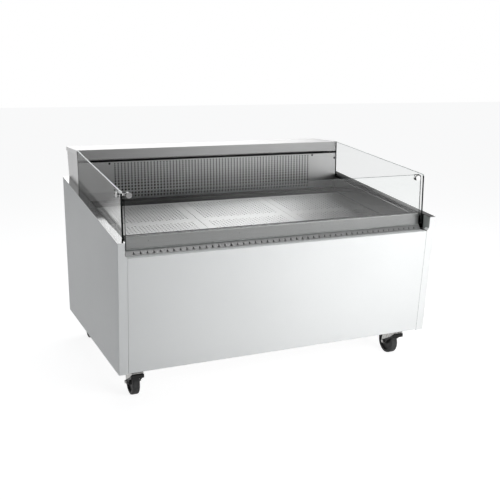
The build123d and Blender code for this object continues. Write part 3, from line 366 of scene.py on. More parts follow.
# The ground edges' tones are painted light and shade over the glass's own green: lighter copies where an edge faces the
# light, darker copies elsewhere
LIT_GLASS_EDGE = ground_edge("glass_edge_painted_light", tone=0.86, rough=0.5, tint=(0.97, 1.0, 0.99), gloss=0.5)
GREY_SHADED_GLASS_EDGE = ground_edge("glass_edge_grey_painted_shade", tone=0.12, rough=0.5, tint=(0.9, 1.0, 0.96), gloss=0.2)
HALF_LIT_GLASS_EDGE = ground_edge("glass_edge_half_painted_light", tone=0.50, rough=0.5, tint=(0.93, 1.0, 0.97), gloss=0.3)
SHADED_GLASS_EDGE = ground_edge("glass_edge_painted_shade", tone=0.010, rough=0.45, tint=(0.85, 1.0, 0.95), gloss=0.1)

SLOT_LOOKS = {
    "white_panel": WHITE, "stainless": ACROSS_STEEL, "well_liner": SHADED_LINER, "polished_steel": POLISHED,
    "zinc_steel": ZINC, "fork_zinc": FORK_ZINC, "wheel_rubber": RUBBER, "pedal_plastic": PEDAL,
    "fan_plastic": FAN, "motor_black": MOTOR, "fin_aluminium": FINS, "copper_pipe": COPPER,
    "drain_plastic": PIPE, "control_plastic": CONTROL, "clear_glass": GLASS, "deck_steel": ACROSS_STEEL,
}
# The right lining takes the darker copy of the annealed steel, and the fan plate, the head's floor and the evaporator
# take black, all as painted shade
NODE_LOOKS = {
    "end_lining_left": BRIGHT_STEEL, "end_lining_right": SHADED_ANNEALED_STEEL, "head_cap_left": CAP_STEEL,
    "head_cap_right": CAP_STEEL, "head_lid": LID_STEEL, "fan_plate": SHADE_BLACK_PLATE, "head_floor": SHADE_BLACK_PLATE,
    "evaporator_coil": SHADE_BLACK_FINS,
}


def dress(obj, *materials):
    """Give an object its material slots afresh."""
    obj.data.materials.clear()
    for material in materials:
        obj.data.materials.append(material)


def pick(name, materials, chooser):
    """Give single faces of a node another of its materials."""
    obj = nodes[name]
    dress(obj, *materials)
    for face in obj.data.polygons:
        face.material_index = chooser(face.center, face.normal)


for entry in frame["record"]["subparts"]:
    name = entry["node"]
    dress(nodes[name], NODE_LOOKS.get(name, SLOT_LOOKS[entry["material_slot"]]))

HUB_RADIUS = 45.5
for row in ("front", "rear"):
    for _, side in SIDES:
        tag = f"{row}_{side}"
        low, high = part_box(f"castor_wheel_{tag}")
        hub = (Vector(low) + Vector(high)) / 2
        pick(f"castor_wheel_{tag}", (RUBBER, HUB),
             lambda c, n, hub=hub: int(((c.y - hub.y) ** 2 + (c.z - hub.z) ** 2) ** 0.5 < HUB_RADIUS / 1000))

REAR_FACE, BEZEL_RISE = 1084.4, 3.0
KNOB_GAP, KNOB_REACH = 0.3, 18.0
POINTER_RISE = 0.2    # faces of the knob that stand out further than this are its pointer
knob_front = at(0, REAR_FACE + BEZEL_RISE + KNOB_GAP + KNOB_REACH, 0).y
pick("thermostat_knob", (CONTROL, POINTER), lambda c, n: int(c.y > knob_front + POINTER_RISE / 1000))

RAIL_HEAD, RAIL_KNEE = 726.2, 668.7
FOLD_DROP = 9.0    # the rail's fold reaches this far below its head
FOLD_TILT, SHADE_TILT = 0.06, 0.64    # share of a normal, up or down, from which a face is a fold, or the fold's top painted black as the shadow of the gap behind it


def rail_part(c, n):
    """Material of the rail's face, its round fold in brighter steel as a painted highlight, its foot below the knee in
    lighter steel as painted light, or the fold's top in black as the painted shadow of the gap behind it.
    """
    if c.z > (RAIL_HEAD - FOLD_DROP) / 1000 and n.z > FOLD_TILT:
        return 3 if n.z > SHADE_TILT else 1
    return 2 if c.z < RAIL_KNEE / 1000 else 0


# The rail's fold takes the brighter annealed steel as a painted highlight
pick("front_rail", (RAIL_STEEL, BRIGHT_STEEL, LIT_RAIL_FOOT, GAP_SHADE_BLACK), rail_part)
# The fascia's lower fold takes the brighter steel as a painted highlight
pick("head_fascia", (ACROSS_STEEL, LIT_FOLD_STEEL), lambda c, n: int(n.z < -FOLD_TILT and n.y < -FOLD_TILT))

FLANGE_REACH = 715.0    # the flanges' inner edges, painted black as shade, lie nearer the middle than this
FACING_IN = 0.9    # share of a normal from which a face looks into the case


def end_panel_part(side):
    """Chooser between an end panel's coat, its inner face in a grey painted shade, and black painted shade along its
    flange's inner edges.
    """
    def part(c, n):
        if -n.x * side <= FACING_IN:
            return 0
        return 2 if abs(c.x) < FLANGE_REACH / 1000 else 1
    return part


for side, name in SIDES:
    pick(f"end_panel_{name}", (WHITE, SHADED_INNER_FACE, GAP_SHADE_BLACK), end_panel_part(side))


# Mesh pieces

def finish_mesh(bm, name, material, body, smooth=30):
    """Turn a bmesh into a piece that rides on a body."""
    mesh = bpy.data.meshes.new(name)
    bm.to_mesh(mesh)
    bm.free()
    obj = bpy.data.objects.new(name, mesh)
    bpy.context.scene.collection.objects.link(obj)
    mesh.materials.append(material)
    if smooth:
        for face in mesh.polygons:
            face.use_smooth = True
        mesh.set_sharp_from_angle(angle=radians(smooth))
    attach(obj, body)
    return obj


def circle(centre, radius, count):
    """Points round a centre, anticlockwise."""
    turns = [2 * pi * i / count for i in range(count)]
    return [(centre[0] + radius * cos(t), centre[1] + radius * sin(t)) for t in turns]


def join_rings(bm, a, b):
    """Band of faces between two closed rings of vertices."""
    for i in range(len(a)):
        j = (i + 1) % len(a)
        bm.faces.new([a[i], a[j], b[j], b[i]])


CELL_SPLIT = 4    # segments on each side of a hole's cell


def split_steps(places):
    """Split each step between places as a hole's cell is split."""
    fine = []
    for a, b in zip(places, places[1:]):
        fine += [a + (b - a) * i / CELL_SPLIT for i in range(CELL_SPLIT)]
    return fine + [places[-1]]


class Plate:
    """Sheet drawn flat in u and v, with round holes, and laid in place by a map."""

    def __init__(self, lay):
        self.bm = bmesh.new()
        self.uv = self.bm.loops.layers.uv.new("lay")
        self.lay = lay
        self.known = {}
        self.flat = {}

    def vert(self, u, v):
        key = (round(u, 3), round(v, 3))
        if key not in self.known:
            vert = self.bm.verts.new(self.lay(u, v))
            self.known[key] = vert
            self.flat[vert] = (u, v)
        return self.known[key]

    def face(self, points):
        face = self.bm.faces.new([self.vert(*p) for p in points])
        for loop in face.loops:
            u, v = self.flat[loop.vert]
            loop[self.uv].uv = (v / 1000, u / 1000)

    def fill(self, us, vs):
        """Plain faces between the given lines."""
        for a, b in zip(us, us[1:]):
            for c, d in zip(vs, vs[1:]):
                self.face([(a, c), (b, c), (b, d), (a, d)])

    def holed(self, u, v, radius):
        """One cell with a round hole; its outline starts at the middle of its right side."""
        (a, b), (c, d) = u, v
        right = [(b, y) for y in split_steps([c, d])[:-1]]
        top = [(x, d) for x in split_steps([b, a])[:-1]]
        left = [(a, y) for y in split_steps([d, c])[:-1]]
        bottom = [(x, c) for x in split_steps([a, b])[:-1]]
        half = CELL_SPLIT // 2
        outline = right[half:] + top + left + bottom + right[:half]
        hole = circle(((a + b) / 2, (c + d) / 2), radius, len(outline))
        for i in range(len(outline)):
            j = (i + 1) % len(outline)
            self.face([outline[i], outline[j], hole[j], hole[i]])


def thicken(obj, thickness):
    """Give a sheet its thickness, inwards from the drawn face."""
    modifier = obj.modifiers.new("sheet", "SOLIDIFY")
    modifier.thickness = thickness / 1000
    modifier.offset = -1
    modifier.use_even_offset = True


GLASS_THICK = 8.0
ARRIS = 0.8
CORNER, CORNER_STEPS = 12.0, 8
CLAMP_HOLE, CLAMP_HOLE_SIDES = 7.0, 32
FRONT_HALF, FRONT_FOOT, GLASS_TOP = 702.0, 669.7, 902.5
FRONT_FACE = 58.2
SIDE_IN, SIDE_FRONT, SIDE_REAR, SIDE_SEAT, SIDE_TOP = 710.0, 56.5, 855.0, 45.0, 998.0
CLAMP_X, CLAMP_Y, CLAMP_Z = 683.0, 102.0, 887.0
THROUGH = 0.95    # share of a normal along the pane's depth from which a face is clear glass
ON_LIT, ON_SHADED, ON_GREY_SHADED, ON_HALF_LIT = 1, 2, 3, 4    # places of the edges' materials, after the clear glass
ENDWARD, FRONT_UPWARD, SIDE_UPWARD = 0.5, 0.3, 0.4    # shares of a normal from which an edge is an end or a top


def inset(points, step):
    """Convex outline moved inwards by a step; its points run anticlockwise."""
    moved = []
    count = len(points)
    for i in range(count):
        p, q, r = (Vector(points[(i + k) % count]) for k in (-1, 0, 1))
        a, b = (q - p).normalized(), (r - q).normalized()
        na, nb = Vector((-a.y, a.x)), Vector((-b.y, b.x))
        moved.append(q + (na + nb) * (step / (1 + na.dot(nb))))
    return moved


def rounded(points, corners, radius):
    """Outline with some corners rounded by arcs."""
    result = []
    count = len(points)
    for i, q in enumerate(points):
        if i not in corners:
            result.append(q)
            continue
        a = (points[i - 1] - q).normalized()
        b = (points[(i + 1) % count] - q).normalized()
        half = a.angle(b) / 2
        centre = q + (a + b).normalized() * (radius / sin(half))
        start, end = q + a * (radius / tan(half)) - centre, q + b * (radius / tan(half)) - centre
        sweep = start.angle_signed(end)
        for k in range(CORNER_STEPS + 1):
            turn = Matrix.Rotation(-sweep * k / CORNER_STEPS, 2)
            result.append(centre + turn @ start)
    return result


def pane(name, node, points, corners, holes, lay, edge):
    """Glass pane with ground arrises, drilled holes and clear faces; edge picks an edge face's material."""
    bm = bmesh.new()

    def ring(outline, depth):
        return [bm.verts.new(lay(p[0], p[1], depth)) for p in outline]

    full = rounded([Vector(p) for p in points], corners, CORNER)
    ground = rounded(inset(points, ARRIS), corners, CORNER - ARRIS)
    rims = [(ground, full)]
    for centre in holes:
        rims.append([circle(centre, radius, CLAMP_HOLE_SIDES) for radius in (CLAMP_HOLE + ARRIS, CLAMP_HOLE)])
    front, back = [], []
    for face_line, wall_line in rims:
        rings = [ring(face_line, 0.0), ring(wall_line, ARRIS),
                 ring(wall_line, GLASS_THICK - ARRIS), ring(face_line, GLASS_THICK)]
        for a, b in zip(rings, rings[1:]):
            join_rings(bm, a, b)
        for cap, verts in ((front, rings[0]), (back, rings[-1])):
            cap.extend(bm.edges.get((v, verts[(i + 1) % len(verts)])) for i, v in enumerate(verts))
    for edges in (front, back):
        bmesh.ops.triangle_fill(bm, edges=edges, use_beauty=True)
    bmesh.ops.recalc_face_normals(bm, faces=bm.faces)
    obj = finish_mesh(bm, name, GLASS, "cabinet", smooth=0)
    for material in (LIT_GLASS_EDGE, SHADED_GLASS_EDGE, GREY_SHADED_GLASS_EDGE, HALF_LIT_GLASS_EDGE):
        obj.data.materials.append(material)
    through = (lay(0, 0, 1) - lay(0, 0, 0)).normalized()
    for face in obj.data.polygons:
        if abs(face.normal.dot(through)) < THROUGH:
            face.material_index = edge(face.normal)
    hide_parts(node)


def front_edge(n):
    """The front pane's ends take a painted shade, its top a grey painted shade and its foot a painted light."""
    if abs(n.x) > ENDWARD:
        return ON_SHADED
    return ON_GREY_SHADED if n.z > FRONT_UPWARD else ON_LIT


def side_edge(side):
    """An end pane's edges take a painted shade but for its top, which takes a painted light on the left and a dimmer
    one on the right.
    """
    return lambda n: ON_SHADED if n.z < SIDE_UPWARD else ON_LIT if side < 0 else ON_HALF_LIT


pane("front_glass_pane", "front_glass",
     [(-FRONT_HALF, FRONT_FOOT), (FRONT_HALF, FRONT_FOOT), (FRONT_HALF, GLASS_TOP), (-FRONT_HALF, GLASS_TOP)],
     (2, 3), [(-CLAMP_X, CLAMP_Z), (CLAMP_X, CLAMP_Z)], lambda u, v, d: at(u, FRONT_FACE + d, v), front_edge)
for side, name in SIDES:
    pane(f"side_glass_pane_{name}", f"side_glass_{name}",
         [(SIDE_FRONT, rim(SIDE_FRONT) - SIDE_SEAT), (SIDE_REAR, rim(SIDE_REAR) - SIDE_SEAT),
          (SIDE_REAR, SIDE_TOP), (SIDE_FRONT, GLASS_TOP)],
         (3,), [(CLAMP_Y, CLAMP_Z)], lambda u, v, d, side=side: at(side * (SIDE_IN + d), u, v), side_edge(side))

# Section of an end glass's channel: across from the middle, and down from the rim
CHANNEL = ((698.0, 15.0), (709.7, 15.0), (709.7, 45.0), (719.4, 45.0), (719.4, 60.0), (699.5, 60.0),
           (699.5, 108.0), (698.0, 108.0))
CHANNEL_FRONT, CHANNEL_REAR = 84.05, 855.0
ROLL, ROLL_STEPS = 1.2, 6


def channel(side, name, material):
    """Channel of an end glass, with its inner top edge rolled over."""
    bm = bmesh.new()
    (edge, drop), *rest = CHANNEL
    turns = [pi / 2 * k / ROLL_STEPS for k in range(ROLL_STEPS + 1)]
    outline = [(edge + ROLL * (1 - cos(t)), drop + ROLL * (1 - sin(t))) for t in turns] + rest
    rings = [[bm.verts.new(at(side * x, y, rim(y) - drop)) for x, drop in outline]
             for y in (CHANNEL_FRONT, CHANNEL_REAR)]
    join_rings(bm, *rings)
    for ring in rings:
        bm.faces.new(ring)
    bmesh.ops.recalc_face_normals(bm, faces=bm.faces)
    obj = finish_mesh(bm, f"rolled_{name}", material, "cabinet", smooth=25)
    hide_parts(name)


# The right channel takes the darker copy of the annealed steel as painted shade
for (side, name), material in zip(SIDES, (BRIGHT_STEEL, SHADED_ANNEALED_STEEL)):
    channel(side, f"glass_channel_{name}", material)

DECK_PITCH, DECK_GAP = 463.6667, 1.0
DECK_FRONT, DECK_REAR = 122.0, 815.0
DECK_SHEET = 1.5
HOLE_COLUMNS, COLUMN, ROW = 23, 17.0, 20.0
DECK_HOLE = 4.2
ZONES = ((150.0, 17), (530.0, 13))    # each field's front and its rows of holes
FOLD, LIP = 1.0, 20.0
LIP_LINE = ((0.62, 0.08), (0.3, 0.3), (0.08, 0.62), (0.0, FOLD), (0.0, LIP))    # in from the edge, and down
ON_LINE = 0.01    # a vertex so near a line lies on it


def deck_plate(place, name):
    """Perforated lift-out plate: staggered holes in two fields, edges folded down."""
    middle = place * DECK_PITCH
    half = (DECK_PITCH - DECK_GAP) / 2
    inner_u = (middle - half + FOLD, middle + half - FOLD)
    inner_v = (DECK_FRONT + FOLD, DECK_REAR - FOLD)

    def lay(u, v):
        return at(u, v, rim(v) - DECK_DEPTH)

    plate = Plate(lay)
    first = middle - HOLE_COLUMNS * COLUMN / 2
    columns = [first + i * COLUMN for i in range(HOLE_COLUMNS + 1)]
    fine_u = [inner_u[0], *split_steps(columns), inner_u[1]]
    level = inner_v[0]
    for start, rows in ZONES:
        plate.fill(fine_u, [level, start])
        ends = [start + i * ROW for i in range(rows + 1)]
        fine_v = split_steps(ends)
        level = ends[-1]
        plate.fill([inner_u[0], columns[0]], fine_v)
        plate.fill([columns[-1], inner_u[1]], fine_v)
        for i, (a, b) in enumerate(zip(columns, columns[1:])):
            if i % 2 == 0:
                for c, d in zip(ends, ends[1:]):
                    plate.holed((a, b), (c, d), DECK_HOLE)
            else:
                for c, d in zip(ends[:-1], ends[1:-1]):
                    plate.holed((a, b), (c + ROW / 2, d + ROW / 2), DECK_HOLE)
                strip = split_steps([a, b])
                plate.fill(strip, [ends[0], ends[0] + ROW / 4, ends[0] + ROW / 2])
                plate.fill(strip, [ends[-1] - ROW / 2, ends[-1] - ROW / 4, ends[-1]])
    plate.fill(fine_u, [level, inner_v[1]])
    bm = plate.bm

    def moved_out(value, limits, step):
        """A place on the border moves out by a step."""
        if abs(value - limits[0]) < ON_LINE:
            return value - step
        if abs(value - limits[1]) < ON_LINE:
            return value + step
        return value

    def on_lip(vert, inset, drop):
        u, v = plate.flat[vert]
        point = lay(moved_out(u, inner_u, FOLD - inset), moved_out(v, inner_v, FOLD - inset))
        point.z -= drop / 1000
        return point

    def on_border(vert):
        return any(abs(value - limit) < ON_LINE
                   for value, limits in zip(plate.flat[vert], (inner_u, inner_v)) for limit in limits)

    border = [e for e in bm.edges if e.is_boundary and on_border(e.verts[0]) and on_border(e.verts[1])]
    lips = {}
    for edge in border:
        for vert in edge.verts:
            if vert not in lips:
                lips[vert] = [vert] + [bm.verts.new(on_lip(vert, inset, drop)) for inset, drop in LIP_LINE]
    for edge in border:
        a, b = (lips[v] for v in edge.verts)
        for i in range(len(LIP_LINE)):
            face = bm.faces.new([a[i], a[i + 1], b[i + 1], b[i]])
            for loop in face.loops:
                co = loop.vert.co
                loop[plate.uv].uv = (co.y - co.z, co.x)
    bmesh.ops.recalc_face_normals(bm, faces=bm.faces)
    if sum(f.normal.z for f in bm.faces) < 0:
        bmesh.ops.reverse_faces(bm, faces=bm.faces)
    obj = finish_mesh(bm, f"perforated_{name}", DECK, "cabinet", smooth=0)
    thicken(obj, DECK_SHEET)
    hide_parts(name)


for place, side in ((-1, "left"), (0, "centre"), (1, "right")):
    deck_plate(place, f"deck_plate_{side}")

PANEL_FRONT = 857.0
PANEL_HEAD, PANEL_FOLD = 938.0, 790.5
PANEL_HALF = 708.0
PANEL_SHEET = 1.2
LIP_BACK, LIP_DROP = 10.0, 41.0
PANEL_ROWS = (928.75, 919.5, 910.5, 899.0, 889.5, 878.75, 867.0, 855.5, 843.0, 829.5, 813.75, 799.0)
LOWER_ROWS = (781.0, 765.0)
PANEL_COLUMNS, PANEL_PITCH = 65, 16.75
PANEL_HOLE, PANEL_HOLE_MOST = 0.355, 5.0    # radius as a share of the row's height, and its limit
HEAD_ROUND = 1.0
HEAD_LINE = ((0.3, 0.3), (1.0, 0.6), (10.0, 0.6))    # folded head: back from the front, and up


def discharge_panel():
    """Air discharge panel: straight rows of holes, folded head and leaning foot."""
    lean = atan2(LIP_BACK, LIP_DROP)

    def lay(u, v):
        # v is the height, and below the fold the foot leans back
        back = max(PANEL_FOLD - v, 0.0) * tan(lean)
        return at(u, PANEL_FRONT + back, v)

    plate = Plate(lay)
    first = -PANEL_COLUMNS * PANEL_PITCH / 2
    columns = [first + i * PANEL_PITCH for i in range(PANEL_COLUMNS + 1)]
    fine_u = [-PANEL_HALF, *split_steps(columns), PANEL_HALF]

    def field(rows):
        """Cells of one field; returns its lower and upper limit."""
        bounds = [rows[0] + (rows[0] - rows[1]) / 2]
        bounds += [(a + b) / 2 for a, b in zip(rows, rows[1:])]
        bounds.append(rows[-1] - (rows[-2] - rows[-1]) / 2)
        for high, low in zip(bounds, bounds[1:]):
            radius = min(PANEL_HOLE * (high - low), PANEL_HOLE_MOST)
            for a, b in zip(columns, columns[1:]):
                plate.holed((a, b), (low, high), radius)
            fine = split_steps([low, high])
            plate.fill([-PANEL_HALF, columns[0]], fine)
            plate.fill([columns[-1], PANEL_HALF], fine)
        return bounds[-1], bounds[0]

    low, high = field(PANEL_ROWS)
    foot_low, foot_high = field(LOWER_ROWS)
    plate.fill(fine_u, [PANEL_FOLD - LIP_DROP, foot_low])
    plate.fill(fine_u, [foot_high, PANEL_FOLD, low])
    plate.fill(fine_u, [high, PANEL_HEAD - HEAD_ROUND])
    bm = plate.bm
    top = [plate.vert(u, PANEL_HEAD - HEAD_ROUND) for u in fine_u]
    rows = [top]
    for back, up in HEAD_LINE:
        rows.append([bm.verts.new(at(u, PANEL_FRONT + back, PANEL_HEAD + up)) for u in fine_u])
    for lower, upper in zip(rows, rows[1:]):
        for i in range(len(top) - 1):
            face = bm.faces.new([lower[i], lower[i + 1], upper[i + 1], upper[i]])
            for loop in face.loops:
                loop[plate.uv].uv = (loop.vert.co.z + loop.vert.co.y, loop.vert.co.x)
    bmesh.ops.recalc_face_normals(bm, faces=bm.faces)
    if sum(f.normal.y for f in bm.faces) > 0:
        bmesh.ops.reverse_faces(bm, faces=bm.faces)
    obj = finish_mesh(bm, "perforated_discharge_panel", PANEL_STEEL, "cabinet", smooth=0)
    # The foot below the fold takes the lighter copy of the steel as painted light
    obj.data.materials.append(LIT_FOOT_STEEL)
    for face in obj.data.polygons:
        face.material_index = int(face.center.z < PANEL_FOLD / 1000)
    thicken(obj, PANEL_SHEET)
    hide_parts("discharge_panel")


discharge_panel()

HEAD_SIDES = 16
DOME = ((1.0, 0.0), (1.0, 0.35), (0.9, 0.7), (0.62, 0.95), (0.34, 1.0))    # shares of a head's radius and rise
CROSS_NARROW, CROSS_DEEP = 0.55, 0.5    # recess: share of the innermost ring between its arms, and of the rise
FORWARD, BACKWARD, DOWN = (0, -1, 0), (0, 1, 0), (0, 0, -1)


def pan_head(bm, place, direction, radius, rise):
    """Pan-head screw: domed head with a cross recess."""
    normal = Vector(direction).normalized()
    side = normal.orthogonal().normalized()
    other = normal.cross(side)
    rings = []
    for share, up in DOME:
        ring = []
        for i in range(HEAD_SIDES):
            angle = 2 * pi * i / HEAD_SIDES
            r = radius * share
            if share == DOME[-1][0] and i % 4:
                r *= CROSS_NARROW
            ring.append(bm.verts.new(place + side * (r * cos(angle)) + other * (r * sin(angle)) + normal * (rise * up)))
        rings.append(ring)
    rings.append([bm.verts.new(v.co - normal * (rise * CROSS_DEEP)) for v in rings[-1]])
    for a, b in zip(rings, rings[1:]):
        join_rings(bm, a, b)
    bm.faces.new(rings[-1])
    bm.faces.new(list(reversed(rings[0])))


def screws(name, places, direction, radius, rise, material):
    """A group of like screws as one piece; radius and rise in millimetres."""
    bm = bmesh.new()
    for place in places:
        pan_head(bm, place, direction, radius / 1000, rise / 1000)
    bmesh.ops.recalc_face_normals(bm, faces=bm.faces)
    finish_mesh(bm, name, material, "cabinet")


PANEL_SCREW_X, PANEL_SCREW_Z = (-562.5, 562.5), 930.0
PLUG_X, PLUG_Z = 702.0, 910.0
RIVET_X, RIVET_Y, RIVET_Z = (-607.0, -211.0, 185.0, 581.0), 66.55, 699.5
REAR_X, REAR_Z, REAR_MIDDLE = (-695.0, -347.0, 0.0, 347.0, 695.0), (172.0, 826.0), 500.0
BEZEL_X, BEZEL_Z = (-640.0, -440.0), (650.0, 720.0)
CASTOR_X, CASTOR_Y, CASTOR_PLATE = (-655.0, 655.0), (163.0, 990.0), 146.0
BOLT_X, BOLT_Y = (-42.0, 42.0), (-33.0, 33.0)    # from a castor's middle
screws("discharge_panel_screws", [at(x, PANEL_FRONT, PANEL_SCREW_Z) for x in PANEL_SCREW_X],
       FORWARD, radius=5.2, rise=2.2, material=BLACK_SCREW)
screws("discharge_panel_plug", [at(PLUG_X, PANEL_FRONT, PLUG_Z)],
       FORWARD, radius=5.8, rise=1.4, material=BLACK_SCREW)
screws("front_rail_rivets", [at(x, RIVET_Y, RIVET_Z) for x in RIVET_X],
       FORWARD, radius=3.0, rise=0.25, material=STEEL_SCREW)
screws("rear_panel_screws",
       [at(x, REAR_FACE, z) for x in REAR_X for z in REAR_Z]
       + [at(x, REAR_FACE, REAR_MIDDLE) for x in (REAR_X[0], REAR_X[-1])],
       BACKWARD, radius=5.0, rise=2.2, material=STEEL_SCREW)
screws("control_bezel_screws", [at(x, REAR_FACE + BEZEL_RISE, z) for x in BEZEL_X for z in BEZEL_Z],
       BACKWARD, radius=3.0, rise=1.4, material=STEEL_SCREW)
screws("castor_plate_bolts",
       [at(x + dx, y + dy, CASTOR_PLATE) for x in CASTOR_X for y in CASTOR_Y for dx in BOLT_X for dy in BOLT_Y],
       DOWN, radius=5.8, rise=2.2, material=STEEL_SCREW)


# Stage, light and camera

# Brightness of the studio by compass angle in degrees: 0 behind the case, 90 on its right
STUDIO_RING = (
    (-180, 0.22), (-120, 0.30), (-60, 1.2), (-25, 1.3), (-20.5, 0.30), (-4, 0.30), (3, 1.5), (28, 1.5),
    (33, 0.17), (36.1, 0.17), (36.8, 1.3), (39, 1.3), (42, 0.15), (70, 0.15), (110, 0.5), (140, 1.5),
    (152, 1.75), (161, 1.08), (164, 0.72), (168, 0.34), (180, 0.24))
# Brightness of the soft box overhead across the case, by the direction's X from -1 to 1
SOFT_BOX = (
    (-1.0, 0.3), (-0.5, 0.3), (-0.1, 0.6), (0.2, 1.0), (0.28, 1.2), (0.35, 3.5), (0.41, 5.9), (0.444, 8.0),
    (0.451, 0.02), (1.0, 0.02))
SECOND_LOSS = 0.5    # share that a second mirroring loses
ROOM = (0.185, 0.192, 0.20)    # what dull surfaces receive from all round

# Shares of a direction's X, Y or Z over which one part of the studio gives way to the next
CEILING_Z = (0.66, 0.86)
SCREEN_X, SCREEN_Z, SCREEN = (0.43, 0.46), (0.25, 0.40), 0.03    # dark screen high on the right
FRONT_Y, FRONT_Z = (-0.05, -0.30), (-0.02, 0.10)
FRONT_TOP_Z, FRONT_LOW, FRONT_HIGH = (0.55, 0.72), 0.04, 0.45    # dim front, lighter towards its top

FLOOR_HALF = 40.0
FLOOR_TONE = 0.72    # for the light that it returns to the case
FLOOR_GLOW, FLOOR_PALE = 0.88, 0.34    # as it is seen: its own light, and the share that takes a shadow
FLOOR_NEAR, NEAR_REACH = 0.69, (3.75, 4.85)    # as metal mirrors it near the case, and where that fades out


def grey_levels(tree, source, low, high, levels):
    """Grey that a value picks between levels over its range."""
    stops = [((place - low) / (high - low), grey(level)) for place, level in levels]
    return colour_ramp(tree, map_range(tree, source, low, high), stops, ease=True)


def ring_nodes(tree, vector):
    """Parts of a direction, or of a place on the floor, and the studio's brightness there."""
    split = tree.nodes.new("ShaderNodeSeparateXYZ")
    tree.links.new(vector, split.inputs["Vector"])
    yaw = calculate(tree, "ARCTAN2", split.outputs["X"], split.outputs["Y"])
    return split.outputs, grey_levels(tree, calculate(tree, "DEGREES", yaw), -180, 180, STUDIO_RING)


def ray_shares(tree):
    """Rays that show the background, rays that metal mirrors, and how far a second mirroring dims."""
    path = tree.nodes.new("ShaderNodeLightPath").outputs
    bounces = calculate(tree, "ADD", path["Glossy Depth"], path["Diffuse Depth"])
    direct = calculate(tree, "LESS_THAN", bounces, 0.5)
    through = calculate(tree, "MULTIPLY", path["Is Transmission Ray"], direct)
    seen = calculate(tree, "MAXIMUM", path["Is Camera Ray"], through)
    once = calculate(tree, "GREATER_THAN", path["Glossy Depth"], 0.5)
    passed = calculate(tree, "MULTIPLY", path["Is Transmission Ray"], once)
    mirrored = calculate(tree, "MAXIMUM", path["Is Glossy Ray"], passed)
    twice = calculate(tree, "GREATER_THAN", path["Glossy Depth"], 1.5)
    return seen, mirrored, calculate(tree, "MULTIPLY", twice, SECOND_LOSS)


def backdrop():
    """Plain pale floor that keeps a faint shadow; metal mirrors the studio's ring in it."""
    bm = bmesh.new()
    for x, y in ((-1, -1), (1, -1), (1, 1), (-1, 1)):
        bm.verts.new((x * FLOOR_HALF, y * FLOOR_HALF, 0))
    bm.faces.new(bm.verts)
    mesh = bpy.data.meshes.new("floor")
    bm.to_mesh(mesh)
    bm.free()
    floor = bpy.data.objects.new("floor", mesh)
    bpy.context.scene.collection.objects.link(floor)
    s = Shade("floor_white", Base_Color=(*grey(FLOOR_TONE), 1), Roughness=0.9, Specular_IOR_Level=0.0)
    glow = s.add("ShaderNodeEmission")
    glow.inputs["Strength"].default_value = FLOOR_GLOW
    pale = s.add("ShaderNodeBsdfDiffuse")
    pale.inputs["Color"].default_value = (*grey(FLOOR_PALE), 1)
    shown = s.add("ShaderNodeAddShader")
    s.link(glow.outputs["Emission"], shown.inputs[0])
    s.link(pale.outputs["BSDF"], shown.inputs[1])
    _, ring = ring_nodes(s.tree, s.place)
    reach = s.add("ShaderNodeVectorMath", operation="LENGTH")
    s.link(s.place, reach.inputs[0])
    near = map_range(s.tree, reach.outputs["Value"], *NEAR_REACH, low=1.0, high=0.0)
    mirror = s.add("ShaderNodeEmission")
    s.link(blend(s.tree, near, ring, grey(FLOOR_NEAR)), mirror.inputs["Color"])
    seen, mirrored, again = ray_shares(s.tree)
    s.link(calculate(s.tree, "SUBTRACT", 1.0, again), mirror.inputs["Strength"])
    unseen = s.mix(mirrored, s.bsdf.outputs["BSDF"], mirror.outputs["Emission"])
    s.show(s.mix(seen, unseen, shown.outputs["Shader"]))
    mesh.materials.append(s.mat)


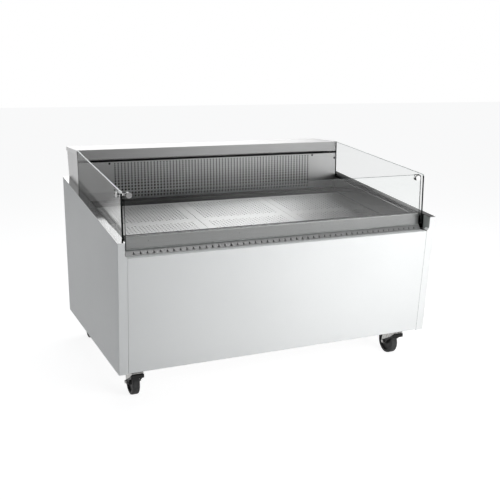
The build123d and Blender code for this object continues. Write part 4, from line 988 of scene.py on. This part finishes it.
def studio():
    """White background; metal sees the studio's ring of light, a soft box overhead and a dim front."""
    world = bpy.data.worlds.new("studio")
    bpy.context.scene.world = world
    world.use_nodes = True
    tree = world.node_tree
    background = tree.nodes["Background"]
    coords = tree.nodes.new("ShaderNodeTexCoord")
    direction, ring = ring_nodes(tree, coords.outputs["Generated"])
    soft_box = grey_levels(tree, direction["X"], -1, 1, SOFT_BOX)
    seen, mirrored, again = ray_shares(tree)

    def rise(axis, limits):
        return map_range(tree, direction[axis], *limits, smooth=True)

    screened = blend(tree, rise("X", SCREEN_X), ring, grey(SCREEN))
    walls = blend(tree, rise("Z", SCREEN_Z), ring, screened)
    crown = blend(tree, rise("Z", CEILING_Z), walls, soft_box)
    front = blend(tree, rise("Z", FRONT_TOP_Z), grey(FRONT_LOW), grey(FRONT_HIGH))
    crown = blend(tree, rise("Y", FRONT_Y), crown, blend(tree, rise("Z", FRONT_Z), crown, front))
    crown = blend(tree, again, crown, grey(0))
    lit = blend(tree, mirrored, ROOM, crown)
    tree.links.new(blend(tree, seen, lit, grey(1)), background.inputs["Color"])
    background.inputs["Strength"].default_value = 1.0


def lamp(name, place, target, size, power):
    """Soft rectangular lamp aimed at a point."""
    light = bpy.data.lights.new(name, "AREA")
    light.shape = "RECTANGLE"
    light.size, light.size_y = size
    light.energy = power
    obj = bpy.data.objects.new(name, light)
    bpy.context.scene.collection.objects.link(obj)
    obj.location = place
    obj.rotation_euler = (Vector(target) - Vector(place)).to_track_quat("-Z", "Y").to_euler()
    obj.visible_camera = False
    obj.visible_glossy = False
    obj.visible_transmission = False


backdrop()
studio()
lamp("key_right", place=(0.72, -2.2, 0.9), target=(0.72, -0.5, 0.5), size=(1.0, 1.0), power=27.5)
lamp("fill_left", place=(-2.2, 0.1, 0.06), target=(-0.75, 0.0, 0.15), size=(2.0, 0.1), power=3)
lamp("top_soft", place=(0.5, 0.6, 3.6), target=(0.2, 0.1, 0.6), size=(2.8, 2.5), power=60)

# The camera as fitted to the photo's edges: lens and sensor in millimetres, tilt and turn in degrees
LENS, SENSOR = 54.953, 36.0
CAMERA_PLACE = (-1.4516, -3.3975, 1.3170)
CAMERA_TILT, CAMERA_TURN = 12.36, 23.952
camera_data = bpy.data.cameras.new("camera")
camera_data.sensor_width = SENSOR
camera_data.lens = LENS
camera = bpy.data.objects.new("camera", camera_data)
bpy.context.scene.collection.objects.link(camera)
camera.location = CAMERA_PLACE
camera.rotation_euler = (radians(90 - CAMERA_TILT), 0, -radians(CAMERA_TURN))
bpy.context.scene.camera = camera
bpy.context.scene.view_settings.view_transform = "Standard"
